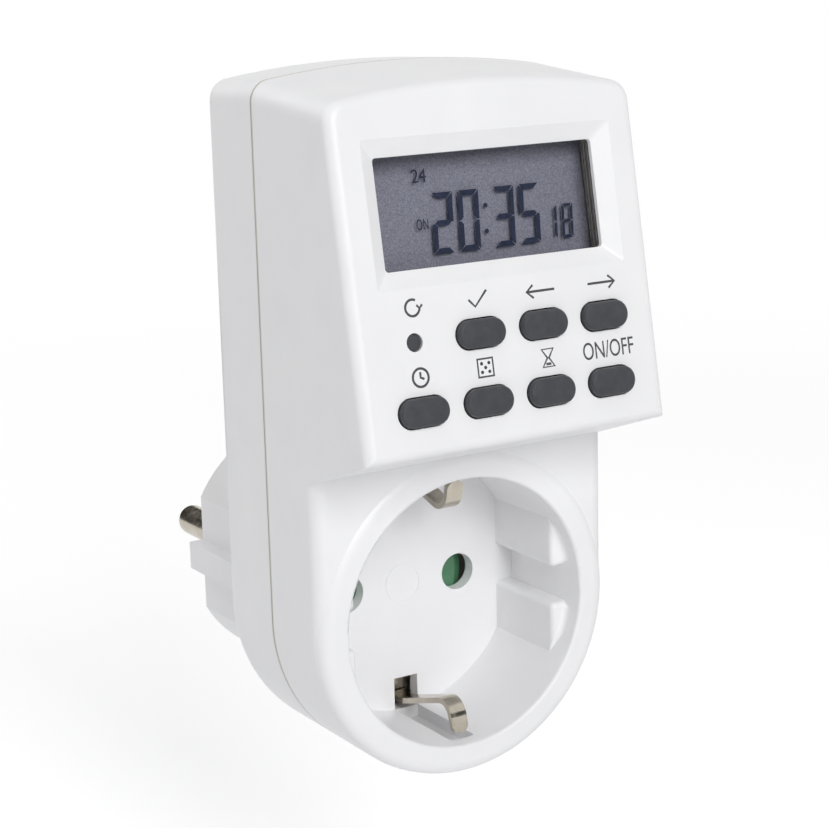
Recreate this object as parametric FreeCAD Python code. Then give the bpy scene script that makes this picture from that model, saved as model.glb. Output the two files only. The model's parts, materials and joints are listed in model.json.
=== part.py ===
import FreeCAD, Part
import math
import os

# A plug-in timer switch: a mains plug at the back, a switched socket at the front
# and a leaning console above it with a display and eight keys.
# The origin is on the plug's face, midway between the pins. +Y runs along the pins
# into the wall, +Z is up, and +X is to the right of someone facing the timer.
# Lengths are in millimetres and angles in degrees.

V = FreeCAD.Vector

# Plug
contact_spacing = 19.0
pin_dia = 4.8
pin_length = 19.0
pin_tip_round = 2.0
pin_root_dia = 5.4
pin_flange_dia = 6.8
pin_flange_thickness = 1.5
pin_stub_dia = 3.0
pin_stub_length = 1.4
plug_dia = 37.4
plug_flat_width = 33.0
plug_rib_width = 37.6
plug_rib_height = 4.2
plug_body_length = 22.3
plug_end_wall = 4.0
plug_edge_round = 0.8
plug_tail_inset = 4.3

# Socket
recess_dia = 38.6
recess_depth = 17.5
guide_rib_reach = 2.85
notch_height = 5.5
guide_rib_setback = 3.2
guide_rib_round = 0.8
contact_hole_dia = 5.5
floor_thickness = 2.0
cup_wall = 1.9
collar_inset = 0.1
collar_height = 0.4
rim_round = 0.5
floor_ring_dia = 6.0
floor_ring_width = 0.3
floor_ring_height = 0.12
earth_window_width = 4.0
earth_window_low = 14.4
earth_window_high = 19.25
earth_groove_depth = 1.7
earth_groove_setback = 2.5

# Housing
socket_rim_width = 4.5
body_top = 75.86
crown_radius = 145.0
front_crown_slope = 5.2
rear_crown_slope = 1.7
corner_radius = 3.0
least_corner = 0.6
wall = 2.0
front_shell_depth = 13.5
rear_shell_depth = 14.2
seam_gap = 0.15
lip_length = 1.5
lip_clearance = 0.1
rear_edge_round = 3.0
console_edge_round = 1.5
socket_edge_round = 2.0
boss_dia = 7.6
front_boss_dia = 6.0
boss_inset = 4.9
boss_top_z = 66.0
boss_low_z = 26.0
front_boss_length = 8.0
console_cavity_low_z = 8.7

# Console
face_tilt = 10.28
face_reach = 13.97
face_bottom_z = 27.55
underside_z = 22.6

# Keys, measured on the face, up from its bottom edge
key_pitch = 9.94
key_row_pitch = 8.9
low_row_up = 5.8
key_width = 7.2
key_height = 3.7
key_gap = 0.2
key_proud = 1.1
key_edge_round = 0.6
key_travel = 0.9
key_flange_margin = 0.6
key_flange_thickness = 1.0
key_flange_gap = 0.4
reset_dia = 2.0
reset_sink = 0.2
pill_dia = 2.8
pill_length = 1.1
pill_clearance = 0.1
mat_thickness = 1.0
mat_collar_wall = 0.6
mat_collar_height = 3.0
mat_clearance = 0.3

# Display, also measured on the face
window_width = 34.2
window_height = 14.5
window_up = 31.1
window_sink = 1.4
window_bevel = 2.3
window_corner = 0.5
window_frame_margin = 0.1
lens_thickness = 1.0
lens_margin = 1.5
display_depth = 5.0
glass_thickness = 1.1
glass_margin = 0.7
glass_ledge = 2.6
frame_wall = 1.0
frame_clearance = 0.1
strip_width = 2.2
strip_inset = 1.0

# Boards
control_board_depth = 9.0
control_board_thickness = 1.4
control_board_low_up = 1.2
board_edge_gap = 0.5
post_dia = 2.8
post_inset = 2.1
post_frame_gap = 0.15
low_post_up = 10.25
power_board_thickness = 1.6
power_board_standoff = 2.5
power_board_bottom = 22.5
power_board_top = 69.5
power_board_edge_gap = 1.0
board_boss_gap = 0.35
slot_gap = 0.1
power_post_x = 17.4
power_post_z = 56.0
power_post_dia = 4.4

# Components on the boards
chip_size = 10.0
chip_height = 1.5
chip_standoff = 0.15
chip_up = 13.25
leg_pitch = 1.1
leg_width = 0.4
leg_reach = 1.0
legs_on_side = 8
crystal_dia = 2.0
crystal_length = 6.0
crystal_x = 4.0
crystal_up = 25.1
battery_dia = 11.6
battery_height = 5.2
battery_x = -11.0
battery_up = 33.1
battery_tab_width = 3.0
battery_tab_reach = 1.5
battery_tab_thickness = 0.3
relay_width = 15.6
relay_length = 20.0
relay_height = 15.6
relay_round = 0.6
relay_side_gap = 2.3
relay_boss_gap = 0.8
box_capacitor_left = 1.0
box_capacitor_width = 17.0
box_capacitor_height = 12.0
box_capacitor_thickness = 6.5
box_capacitor_round = 0.8
box_capacitor_z = 31.6
can_dia = 8.0
can_height = 12.0
can_round = 0.5
can_x = 9.0
can_z = 48.0
resistor_dia = 3.4
resistor_length = 10.0
resistor_x = 2.0
resistor_z = 41.4
varistor_dia = 9.2
varistor_thickness = 3.6
varistor_x = 5.0
varistor_drop = 2.0
varistor_standoff = 1.2
lead_dia = 0.8
lead_pitch = 5.0
diode_dia = 2.7
diode_length = 4.6
diode_pitch = 6.0
diode_count = 4
diode_rise = 5.5
cable_thickness = 1.0
cable_bend = 2.0
cable_left = -6.0
cable_width = 8.0
cable_up = 5.0
cable_stand = 5.0
cable_level_z = 27.4
cable_drop = 10.0

# Screws
screw_dia = 3.0
screw_length = 13.5
screw_head_dia = 5.5
screw_head_height = 2.0
screw_head_sink = 7.0
screw_clearance = 0.15
small_screw_dia = 2.0
small_screw_length = 5.0
small_head_dia = 3.8
small_head_height = 1.3
cross_length = 3.0
cross_width = 0.7
cross_depth = 1.2

# Shutter behind the socket's floor
shutter_radius = 11.9
shutter_thickness = 1.6
shutter_half_angle = 19.0
shutter_hub_dia = 6.4
shutter_rim_bevel = 1.4
shutter_gap = 0.3
shutter_post_dia = 3.0
running_clearance = 0.05
spring_space = 1.7
spring_clearance = 0.3
spring_wire = 0.35
spring_quarter_turns = 5

# Contacts and conductors
contact_wall = 0.6
contact_length = 10.9
contact_grip_clearance = 0.05
contact_slit = 0.8
contact_slit_stop = 2.5
contact_seat_gap = 0.5
contact_room = 0.3
carrier_plate = 1.5
carrier_tube_dia = 8.6
carrier_hole_dia = 6.0
carrier_inset = 0.8
carrier_lip = 1.0
carrier_post_dia = 3.6
carrier_post_offset = 10.5
carrier_gap = 0.2
strip_thickness = 0.8
clip_width = 2.6
clip_root_z = 17.9
clip_crest_z = 13.8
clip_tip_z = 18.6
clip_joint_gap = 0.15
clip_root_depth = 0.9
clip_crest_depth = 4.2
clip_tip_depth = 3.1
clip_bend_setback = 0.3
clip_bend = 2.0
clip_tip_round = 1.15
plug_earth_width = 4.4
plug_earth_z = 16.3
plug_earth_bend = 0.5
plug_earth_sink = 0.5
plug_earth_side_gap = 0.3
plug_earth_relief = 0.6
plug_tail_relief = 1.0
plug_tail_length = 3.0
strap_thickness = 0.6
strap_width = 4.4
strap_bend = 0.6
strap_gap = 0.3
strap_side_gap = 1.0
strap_pin_margin = 0.7
tongue_inset = 4.0
tongue_reach = 4.5
tongue_clearance = 0.1
tab_height = 2.0
tab_reach = 1.0
live_tab_rise = 2.5
switched_tab_rise = 4.5
switched_low_gap = 3.0
bridge_width = 4.0
bridge_bend = 0.6
bridge_gap = 0.8
bridge_wall_gap = 0.2

# How far joined walls run into each other, how far a cut runs past a surface,
# and how near an edge lies to the place it is looked for at
root = 0.5
past = 1.0
near = 0.01

# Places along Y that follow from the sizes above
shell_back_y = -plug_body_length
seam_y = shell_back_y - rear_shell_depth
socket_face_y = seam_y - front_shell_depth
socket_flat_y = socket_face_y + collar_height
floor_y = socket_face_y + recess_depth
floor_back_y = floor_y + floor_thickness
shutter_back_y = floor_back_y + shutter_gap + shutter_thickness
carrier_y = shutter_back_y + spring_space
carrier_back_y = carrier_y + carrier_plate
inner_back_y = shell_back_y - wall
power_board_back_y = inner_back_y - power_board_standoff
power_board_y = power_board_back_y - power_board_thickness
clip_root_y = floor_back_y + clip_root_depth
frame_top_up = window_up + window_height / 2 + glass_margin + frame_clearance + frame_wall
top_post_up = frame_top_up + post_dia / 2 + post_frame_gap
contact_x = contact_spacing / 2
body_width = recess_dia + 2 * socket_rim_width
recess_r = recess_dia / 2
half_width = body_width / 2
boss_x = half_width - boss_inset
face_bottom_y = socket_face_y - face_reach
strap_y = -plug_end_wall - pin_flange_thickness - strap_thickness / 2
plug_inner_r = plug_dia / 2 - wall
plug_inner_flat = plug_flat_width / 2 - wall

tilt = math.radians(face_tilt)
face_height = 60.0
split_z = 40.0


def cyl(radius, y0, y1, x=0.0, z=0.0):
    return Part.makeCylinder(radius, y1 - y0, V(x, y0, z), V(0, 1, 0))


def box(x0, x1, y0, y1, z0, z1):
    return Part.makeBox(x1 - x0, y1 - y0, z1 - z0, V(x0, y0, z0))


def face_of(points):
    return Part.Face(Part.makePolygon(points + [points[0]]))


def side_slab(points, x0=-body_width, x1=body_width):
    return face_of([V(x0, y, z) for y, z in points]).extrude(V(x1 - x0, 0, 0))


def arc(centre, radius, start, end, y):
    angles = (start, (start + end) / 2, end)
    points = [V(centre[0] + radius * math.cos(a), y, centre[1] + radius * math.sin(a)) for a in angles]
    return Part.Arc(*points).toShape()


def line(a, b):
    return Part.LineSegment(a, b).toShape()


# The body's outline seen from the front, drawn inward by inset. Its top is given at the
# seam, and climbs by climb degrees toward +Y.
def outline_prism(inset, y0, y1, climb):
    half = half_width - inset
    low = [arc((0, 0), half, math.pi, 2 * math.pi, y0),
           line(V(half, y0, 0), V(half, y0, split_z)),
           line(V(half, y0, split_z), V(-half, y0, split_z)),
           line(V(-half, y0, split_z), V(-half, y0, 0))]
    lower = Part.Face(Part.Wire(low)).extrude(V(0, y1 - y0, 0))
    slope = math.tan(math.radians(climb))
    top = body_top - inset + (y0 - seam_y) * slope
    radius = crown_radius - inset
    corner = max(corner_radius - inset, least_corner)
    middle_z = top - radius
    corner_x = half - corner
    corner_z = middle_z + math.sqrt((radius - corner) ** 2 - corner_x ** 2)
    lean = math.atan2(corner_z - middle_z, corner_x)
    base_z = split_z - wall - abs((y1 - y0) * slope)
    crown = arc((0, middle_z), radius, lean, math.pi - lean, y0)
    right = arc((corner_x, corner_z), corner, 0, lean, y0)
    left = arc((-corner_x, corner_z), corner, math.pi - lean, math.pi, y0)
    high = [line(V(half, y0, base_z), V(half, y0, corner_z)), right, crown, left,
            line(V(-half, y0, corner_z), V(-half, y0, base_z)),
            line(V(-half, y0, base_z), V(half, y0, base_z))]
    upper = Part.Face(Part.Wire(high)).extrude(V(0, y1 - y0, (y1 - y0) * slope))
    return lower.fuse(upper).removeSplitter()


# A point on the console, from its height up the face and its depth behind it
def face_point(up, depth):
    y = face_bottom_y + up * math.sin(tilt) + depth * math.cos(tilt)
    z = face_bottom_z + up * math.cos(tilt) - depth * math.sin(tilt)
    return y, z


def on_face(shape):
    turn = FreeCAD.Rotation(V(1, 0, 0), 90 - face_tilt)
    placed = shape.copy()
    placed.Placement = FreeCAD.Placement(V(0, face_bottom_y, face_bottom_z), turn)
    return placed


def face_box(x0, x1, up0, up1, depth0, depth1):
    return Part.makeBox(x1 - x0, up1 - up0, depth1 - depth0, V(x0, up0, -depth1))


def face_cyl(radius, depth0, depth1, x, up):
    return Part.makeCylinder(radius, depth1 - depth0, V(x, up, -depth1))


def stadium(width, height, depth0, depth1, x, up):
    straight = (width - height) / 2
    middle = face_box(x - straight, x + straight, up - height / 2, up + height / 2, depth0, depth1)
    ends = [face_cyl(height / 2, depth0, depth1, x + side * straight, up) for side in (-1, 1)]
    return middle.fuse(ends).removeSplitter()


# A strip of constant thickness that follows points in one plane with rounded bends
def bent_strip(points, thickness, bend, place, sweep):
    flat = [V(a, b, 0) for a, b in points]
    sides = {-1: [], 1: []}
    for side in sides:
        offset = side * thickness / 2
        edges = []
        step = (flat[1] - flat[0]).normalize()
        start = flat[0] + V(-step.y, step.x, 0) * offset
        for i in range(1, len(flat) - 1):
            before = (flat[i] - flat[i - 1]).normalize()
            after = (flat[i + 1] - flat[i]).normalize()
            turn = math.atan2(before.cross(after).z, before.dot(after))
            radius = bend + thickness / 2
            reach = radius * math.tan(abs(turn) / 2)
            inward = math.copysign(1, turn)
            entry = flat[i] - before * reach
            leave = flat[i] + after * reach
            centre = entry + V(-before.y, before.x, 0) * radius * inward
            away = (flat[i] - centre).normalize()
            arc_radius = radius - offset * inward
            first = entry + V(-before.y, before.x, 0) * offset
            last = leave + V(-after.y, after.x, 0) * offset
            edges.append((start, first))
            edges.append((first, centre + away * arc_radius, last))
            start = last
        step = (flat[-1] - flat[-2]).normalize()
        edges.append((start, flat[-1] + V(-step.y, step.x, 0) * offset))
        sides[side] = edges
    loop = sides[1] + [(sides[1][-1][-1], sides[-1][-1][-1])]
    loop += [tuple(reversed(edge)) for edge in reversed(sides[-1])]
    loop.append((sides[-1][0][0], sides[1][0][0]))
    shapes = []
    for edge in loop:
        spots = [place(point.x, point.y) for point in edge]
        shapes.append(line(*spots) if len(spots) == 2 else Part.Arc(*spots).toShape())
    return Part.Face(Part.Wire(shapes)).extrude(sweep)


def strip_in_yz(points, thickness, bend, x0, x1):
    return bent_strip(points, thickness, bend, lambda y, z: V(x0, y, z), V(x1 - x0, 0, 0))


def round_edges(shape, radius, wanted):
    edges = [edge for edge in shape.Edges if wanted(edge)]
    return shape.makeFillet(radius, edges)


def key_places():
    columns = [key_pitch * (i - 1.5) for i in range(4)]
    high = low_row_up + key_row_pitch
    return {"set_key": (columns[1], high), "left_key": (columns[2], high),
            "right_key": (columns[3], high), "clock_key": (columns[0], low_row_up),
            "random_key": (columns[1], low_row_up), "countdown_key": (columns[2], low_row_up),
            "manual_key": (columns[3], low_row_up)}


reset_place = (-1.5 * key_pitch, low_row_up + key_row_pitch)
control_post_places = [(side * (half_width - wall - post_inset), up)
                       for side in (-1, 1) for up in (low_post_up, top_post_up)]


# Front housing
def meet(p, d, q, e):
    t = ((q[0] - p[0]) * e[1] - (q[1] - p[1]) * e[0]) / (d[0] * e[1] - d[1] * e[0])
    return p[0] + t * d[0], p[1] + t * d[1]


def console_cavity():
    under = (face_bottom_y - socket_flat_y, face_bottom_z - underside_z)
    length = math.hypot(*under)
    inner_under = (socket_flat_y - wall * under[1] / length, underside_z - wall * under[0] / length)
    inner_face = face_point(0, wall)
    up_face = (math.sin(tilt), math.cos(tilt))
    low_front = meet(inner_under, under, inner_face, up_face)
    low_back = meet(inner_under, under, (socket_flat_y + wall, 0), (0, 1))
    high_front = face_point(face_height, wall)
    beyond = seam_y + lip_length + past
    profile = [(beyond, console_cavity_low_z), (socket_flat_y + wall, console_cavity_low_z), low_back,
               low_front, high_front, (beyond, high_front[1])]
    inside = outline_prism(wall, face_bottom_y - wall, beyond, front_crown_slope)
    inside = inside.common(side_slab(profile))
    return inside.cut(cyl(recess_r + cup_wall, socket_face_y, beyond))


def recess_tool():
    front = socket_face_y - past
    tool = cyl(recess_r, front, floor_y)
    flat = recess_r - guide_rib_reach
    rib_y = socket_face_y + guide_rib_setback
    for side in (-1, 1):
        low, high = sorted((side * flat, side * (recess_r + past)))
        segment = box(low, high, rib_y, floor_y + past, -recess_r, recess_r)
        notch = box(low - past, high + past, rib_y - past, floor_y + 2 * past,
                    -notch_height / 2, notch_height / 2)
        tool = tool.cut(segment.cut(notch))
    return tool


def rib_edge(edge):
    spot = edge.CenterOfMass
    flat = recess_r - guide_rib_reach
    inside = flat - near < abs(spot.x) < recess_r - near
    front = abs(spot.y - socket_face_y - guide_rib_setback) < near
    corner = abs(abs(spot.x) - flat) < near and abs(abs(spot.z) - notch_height / 2) < near
    return inside and (front or corner)


def housing_bosses(radius, y0, y1):
    return [cyl(radius, y0, y1, side * boss_x, z) for side in (-1, 1) for z in (boss_low_z, boss_top_z)]


def rounded_rectangle(half_w, half_h, corner, up, depth):
    bend = corner * (1 - math.sqrt(0.5))
    edges = []
    spots = []
    for a, b in ((1, -1), (1, 1), (-1, 1), (-1, -1)):
        on_side = V(a * half_w, up + b * (half_h - corner), -depth)
        on_end = V(a * (half_w - corner), up + b * half_h, -depth)
        middle = V(a * (half_w - bend), up + b * (half_h - bend), -depth)
        spots.append((on_end, middle, on_side) if a * b < 0 else (on_side, middle, on_end))
    for i, spot in enumerate(spots):
        edges.append(Part.Arc(*spot).toShape())
        edges.append(line(spot[2], spots[(i + 1) % 4][0]))
    return Part.Wire(edges)


# The bevel runs on past the face so that its outer edge lies on the face
def window_tool():
    half_w, half_h = window_width / 2, window_height / 2
    inner = rounded_rectangle(half_w, half_h, window_corner, window_up, window_sink)
    grow = 2 * window_bevel
    outer = rounded_rectangle(half_w + grow, half_h + grow, window_corner, window_up, -window_sink)
    through = Part.Face(inner).extrude(V(0, 0, -wall))
    return through.fuse(Part.makeLoft([inner, outer], True, True))


def front_housing():
    top = face_point(face_height, 0)
    profile = [(seam_y, -body_width), (socket_flat_y, -body_width), (socket_flat_y, underside_z),
               (face_bottom_y, face_bottom_z), top, (seam_y, top[1])]
    shell = outline_prism(0, face_bottom_y - wall, seam_y, front_crown_slope)
    shell = shell.common(side_slab(profile))

    def on_console_face(edge):
        out_y = [point.Point.y - face_bottom_y for point in edge.Vertexes]
        out_z = [point.Point.z - face_bottom_z for point in edge.Vertexes]
        gaps = [abs(y * math.cos(tilt) - z * math.sin(tilt)) for y, z in zip(out_y, out_z)]
        return max(gaps) < near

    def on_socket_rim(edge):
        return all(abs(point.Point.y - socket_flat_y) < near for point in edge.Vertexes) \
            and edge.CenterOfMass.z < underside_z - near

    shell = round_edges(shell, console_edge_round, on_console_face)
    shell = round_edges(shell, socket_edge_round, on_socket_rim)
    shell = shell.cut(console_cavity())
    collar = cyl(half_width - collar_inset, socket_face_y, socket_flat_y + wall)
    collar = round_edges(collar, socket_edge_round, lambda edge: edge.CenterOfMass.y < socket_flat_y)
    lip = outline_prism(wall / 2, seam_y - root, seam_y + lip_length, -rear_crown_slope)
    lip = lip.cut(outline_prism(wall, seam_y - past, seam_y + lip_length + past, -rear_crown_slope))
    added = [collar, cyl(recess_r + cup_wall, socket_flat_y + wall, floor_back_y), lip]
    added += housing_bosses(front_boss_dia / 2, seam_y - front_boss_length, seam_y)
    added += [on_face(face_cyl(post_dia / 2, wall - root, control_board_depth, x, up))
              for x, up in control_post_places]
    added += [cyl(carrier_post_dia / 2, floor_back_y, carrier_y, 0, side * carrier_post_offset)
              for side in (-1, 1)]
    added.append(cyl(shutter_post_dia / 2, floor_back_y, carrier_y))
    shell = shell.fuse(added)
    shell = shell.cut(recess_tool())
    shell = round_edges(shell, guide_rib_round, rib_edge)
    shell = round_edges(shell, rim_round, lambda edge: abs(edge.CenterOfMass.y - socket_face_y) < near
                        and abs(edge.Length - 2 * math.pi * recess_r) < near)
    half_window = earth_window_width / 2
    cuts = [cyl(contact_hole_dia / 2, floor_y - past, floor_back_y + past, side * contact_x)
            for side in (-1, 1)]
    for side in (-1, 1):
        z0, z1 = sorted((side * earth_window_low, side * earth_window_high))
        cuts.append(box(-half_window, half_window, floor_y - past, floor_back_y + past, z0, z1))
        z0, z1 = sorted((side * earth_window_low, side * (recess_r + earth_groove_depth)))
        cuts.append(box(-half_window, half_window, socket_face_y + earth_groove_setback, floor_y, z0, z1))
        cuts.append(cyl(small_screw_dia / 2, carrier_y - small_screw_length + carrier_plate,
                        carrier_y + past, 0, side * carrier_post_offset))
    cuts.append(on_face(window_tool()))
    for x, up in key_places().values():
        cuts.append(on_face(stadium(key_width + 2 * key_gap, key_height + 2 * key_gap,
                                    -past, wall + past, x, up)))
    cuts.append(on_face(face_cyl(reset_dia / 2 + key_gap, -past, wall + past, *reset_place)))
    cuts += [on_face(face_cyl(small_screw_dia / 2, control_board_depth - small_screw_length
                              + control_board_thickness, control_board_depth + past, x, up))
             for x, up in control_post_places]
    screw_end = shell_back_y - screw_head_sink - screw_length
    cuts += housing_bosses(screw_dia / 2, screw_end, seam_y + past)
    ring = cyl(floor_ring_dia / 2, floor_y - floor_ring_height, floor_y)
    ring = ring.cut(cyl(floor_ring_dia / 2 - floor_ring_width, floor_y - past, floor_y + past))
    return shell.cut(cuts).fuse(ring)


# Rear housing, with the plug's body
def plug_section(radius, flat, y0, y1):
    return cyl(radius, y0, y1).common(box(-flat, flat, y0, y1, -radius, radius))


def plug_cavity():
    cavity = plug_section(plug_inner_r, plug_inner_flat, inner_back_y - past, -plug_end_wall)
    half = plug_earth_width / 2 + wall
    low = plug_earth_z - strip_thickness / 2 - wall
    for side in (-1, 1):
        z0, z1 = sorted((side * low, side * plug_dia))
        cavity = cavity.cut(box(-half, half, inner_back_y - 2 * past, 0, z0, z1))
    return cavity


def rear_housing():
    shell = outline_prism(0, seam_y + seam_gap, shell_back_y, -rear_crown_slope)
    shell = round_edges(shell, rear_edge_round,
                        lambda edge: all(abs(p.Point.y - shell_back_y) < near for p in edge.Vertexes))
    plug = plug_section(plug_dia / 2, plug_flat_width / 2, shell_back_y - root, 0)
    half_rib = plug_rib_height / 2
    ribs = box(-plug_rib_width / 2, plug_rib_width / 2, shell_back_y - root, 0, -half_rib, half_rib)
    plug = plug.fuse(ribs).removeSplitter()
    plug = round_edges(plug, plug_edge_round, lambda edge: abs(edge.CenterOfMass.y) < near)
    shell = shell.fuse(plug)
    inside = outline_prism(wall, seam_y - past, inner_back_y, -rear_crown_slope)
    groove = outline_prism(wall / 2 - lip_clearance, seam_y - past, seam_y + lip_length + lip_clearance,
                           -rear_crown_slope)
    groove = groove.cut(outline_prism(wall + lip_clearance, seam_y - 2 * past, seam_y + lip_length + past,
                                      -rear_crown_slope))
    shell = shell.cut(inside).cut(plug_cavity())
    posts = [cyl(power_post_dia / 2, power_board_back_y, inner_back_y + root, side * power_post_x,
                 power_post_z) for side in (-1, 1)]
    bosses = housing_bosses(boss_dia / 2, seam_y + seam_gap, shell_back_y - rear_edge_round)
    bosses = [boss.common(outline_prism(0, seam_y, shell_back_y, -rear_crown_slope)) for boss in bosses]
    shell = shell.fuse(posts + bosses)
    seat_y = shell_back_y - screw_head_sink
    cuts = [groove]
    cuts += housing_bosses(screw_dia / 2 + screw_clearance, seam_y - past, shell_back_y)
    cuts += housing_bosses(screw_head_dia / 2 + screw_clearance, seat_y, shell_back_y + past)
    cuts += [cyl(small_screw_dia / 2, power_board_back_y - past, power_board_y + small_screw_length,
                 side * power_post_x, power_post_z) for side in (-1, 1)]
    cuts += [cyl(pin_root_dia / 2, -plug_end_wall - past, past, side * contact_x) for side in (-1, 1)]
    slot = plug_earth_width / 2 + plug_earth_side_gap
    tail_y = plug_tail_y()
    tail_front = tail_y - strip_thickness / 2 - slot_gap
    under = plug_earth_z - strip_thickness / 2
    for side in (-1, 1):
        z0, z1 = sorted((side * under, side * plug_dia))
        cuts.append(box(-slot, slot, tail_front, past, z0, z1))
        z0, z1 = sorted((side * (under - wall - plug_tail_relief), side * plug_dia))
        cuts.append(box(-slot, slot, tail_front, tail_y + strip_thickness / 2 + plug_earth_bend, z0, z1))
        z0, z1 = sorted((side * (under - wall - plug_earth_relief), side * plug_dia))
        cuts.append(box(-slot, slot, -plug_earth_sink - strip_thickness - plug_earth_bend, past, z0, z1))
    return shell.cut(cuts)


# Keys and keypad
def mat_top():
    return control_board_depth - mat_thickness


def pill_end():
    return control_board_depth - key_travel - pill_clearance


def key(x, up):
    foot = pill_end() - pill_length
    stem = stadium(key_width, key_height, -key_proud, foot, x, up)
    stem = round_edges(stem, key_edge_round, lambda edge: abs(edge.CenterOfMass.z - key_proud) < near)
    grow = 2 * key_flange_margin
    flange_depth = wall + key_flange_gap
    flange = stadium(key_width + grow, key_height + grow, flange_depth,
                     flange_depth + key_flange_thickness, x, up)
    pill = face_cyl(pill_dia / 2, foot, pill_end(), x, up)
    return on_face(stem.fuse([flange, pill]).removeSplitter())


def reset_key():
    x, up = reset_place
    foot = pill_end() - pill_length
    flange_depth = wall + key_flange_gap
    stem = face_cyl(reset_dia / 2, reset_sink, foot, x, up)
    flange = face_cyl(reset_dia / 2 + key_flange_margin, flange_depth, foot, x, up)
    pill = face_cyl(reset_dia / 2, foot, pill_end(), x, up)
    return on_face(stem.fuse([flange, pill]).removeSplitter())


def keypad_mat():
    spread = 1.5 * key_pitch + key_width / 2 + mat_clearance + mat_collar_wall
    low = low_row_up - key_height / 2 - mat_clearance - 2 * mat_collar_wall
    high = 2 * low_row_up + key_row_pitch - low
    under = control_board_depth
    mat = face_box(-spread, spread, low, high, mat_top(), under)
    collar_top = mat_top() - mat_collar_height
    grow = 2 * mat_clearance
    outer = grow + 2 * mat_collar_wall
    collars = [stadium(key_width + outer, key_height + outer, collar_top, mat_top(), x, up)
               for x, up in key_places().values()]
    holes = [stadium(key_width + grow, key_height + grow, collar_top - past, under + past, x, up)
             for x, up in key_places().values()]
    reset_r = reset_dia / 2 + key_flange_margin + mat_clearance
    collars.append(face_cyl(reset_r + mat_collar_wall, collar_top, mat_top(), *reset_place))
    holes.append(face_cyl(reset_r, collar_top - past, under + past, *reset_place))
    posts = [face_cyl(post_dia / 2 + mat_clearance, 0, under + past, x, up)
             for x, up in control_post_places]
    return on_face(mat.fuse(collars).cut(holes + posts))


# Display
def display_spread(margin):
    half_w = window_width / 2 + margin
    half_h = window_height / 2 + margin
    return -half_w, half_w, window_up - half_h, window_up + half_h


def display_window():
    return on_face(face_box(*display_spread(lens_margin), wall, wall + lens_thickness))


def lcd_panel():
    x0, x1, low, high = display_spread(glass_margin)
    middle = display_depth + glass_thickness
    front = face_box(x0, x1, low - glass_ledge / 2, high, display_depth, middle)
    back = face_box(x0, x1, low + glass_ledge / 2, high, middle, middle + glass_thickness)
    return on_face(front.fuse(back).removeSplitter())


def lcd_frame():
    x0, x1, low, high = display_spread(glass_margin + frame_clearance)
    low -= glass_ledge / 2
    outer = face_box(x0 - frame_wall, x1 + frame_wall, low - frame_wall, high + frame_wall,
                     wall + lens_thickness, control_board_depth)
    view = face_box(*display_spread(window_frame_margin), 0, control_board_depth)
    pocket = face_box(x0, x1, low, high, display_depth, control_board_depth + past)
    return on_face(outer.cut([view, pocket]))


def lcd_contact_strip():
    x0, x1, low, high = display_spread(glass_margin)
    low += frame_clearance - glass_ledge / 2
    return on_face(face_box(x0 + strip_inset, x1 - strip_inset, low, low + strip_width,
                            display_depth + glass_thickness, control_board_depth))


# Control board and what it carries
def control_board():
    half = half_width - wall - board_edge_gap
    top = top_post_up + small_head_dia / 2
    board = face_box(-half, half, control_board_low_up, top, control_board_depth, board_back_depth())
    holes = [face_cyl(small_screw_dia / 2, 0, board_back_depth() + past, x, up)
             for x, up in control_post_places]
    return on_face(board.cut(holes))


def board_back_depth():
    return control_board_depth + control_board_thickness


def control_chip():
    back = board_back_depth()
    seat = back + chip_standoff
    half = chip_size / 2
    reach = half + leg_reach
    body = face_box(-half, half, chip_up - half, chip_up + half, seat, seat + chip_height)
    legs = []
    for i in range(legs_on_side):
        low = (i - (legs_on_side - 1) / 2) * leg_pitch - leg_width / 2
        high = low + leg_width
        legs.append(face_box(low, high, chip_up - reach, chip_up + reach, back, back + leg_width))
        legs.append(face_box(-reach, reach, chip_up + low, chip_up + high, back, back + leg_width))
    return on_face(body.fuse(legs))


def clock_crystal():
    radius = crystal_dia / 2
    start = V(crystal_x, crystal_up, -board_back_depth() - radius)
    return on_face(Part.makeCylinder(radius, crystal_length, start, V(1, 0, 0)))


def backup_battery():
    radius = battery_dia / 2
    half = battery_tab_width / 2
    back = board_back_depth()
    seat = back + battery_tab_thickness
    cell = face_cyl(radius, seat, back + battery_height, battery_x, battery_up)
    tab = face_box(battery_x - half, battery_x + half, battery_up - radius - battery_tab_reach, battery_up,
                   back, seat)
    return on_face(cell.fuse(tab))


# Power board and what it carries
def off_power_board(edge):
    return edge.CenterOfMass.y < power_board_y - near


def power_board():
    clear = boss_dia / 2 + board_boss_gap
    narrow = boss_x - clear
    wide = half_width - wall - power_board_edge_gap
    board = box(-narrow, narrow, power_board_y, power_board_back_y, power_board_bottom, power_board_top)
    board = board.fuse(box(-wide, wide, power_board_y, power_board_back_y,
                           boss_low_z + clear, boss_top_z - clear)).removeSplitter()
    front, back = power_board_y - past, power_board_back_y + past
    holes = [cyl(small_screw_dia / 2, front, back, side * power_post_x, power_post_z) for side in (-1, 1)]
    tab_z = live_tab_z()
    half = strap_width / 2 + slot_gap
    thick = strap_thickness / 2 + slot_gap
    holes.append(box(contact_x - half, contact_x + half, front, back, tab_z - thick, tab_z + thick))
    x0, x1 = switched_strap_x()
    holes.append(box(x0 - slot_gap, x1 + slot_gap, front, back,
                     switched_tab_z() - slot_gap, switched_tab_z() + tab_height + slot_gap))
    return board.cut(holes)


def relay():
    left = -half_width + wall + relay_side_gap
    low = boss_low_z + boss_dia / 2 + relay_boss_gap
    body = box(left, left + relay_width, power_board_y - relay_height, power_board_y, low, low + relay_length)
    return round_edges(body, relay_round, off_power_board)


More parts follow.
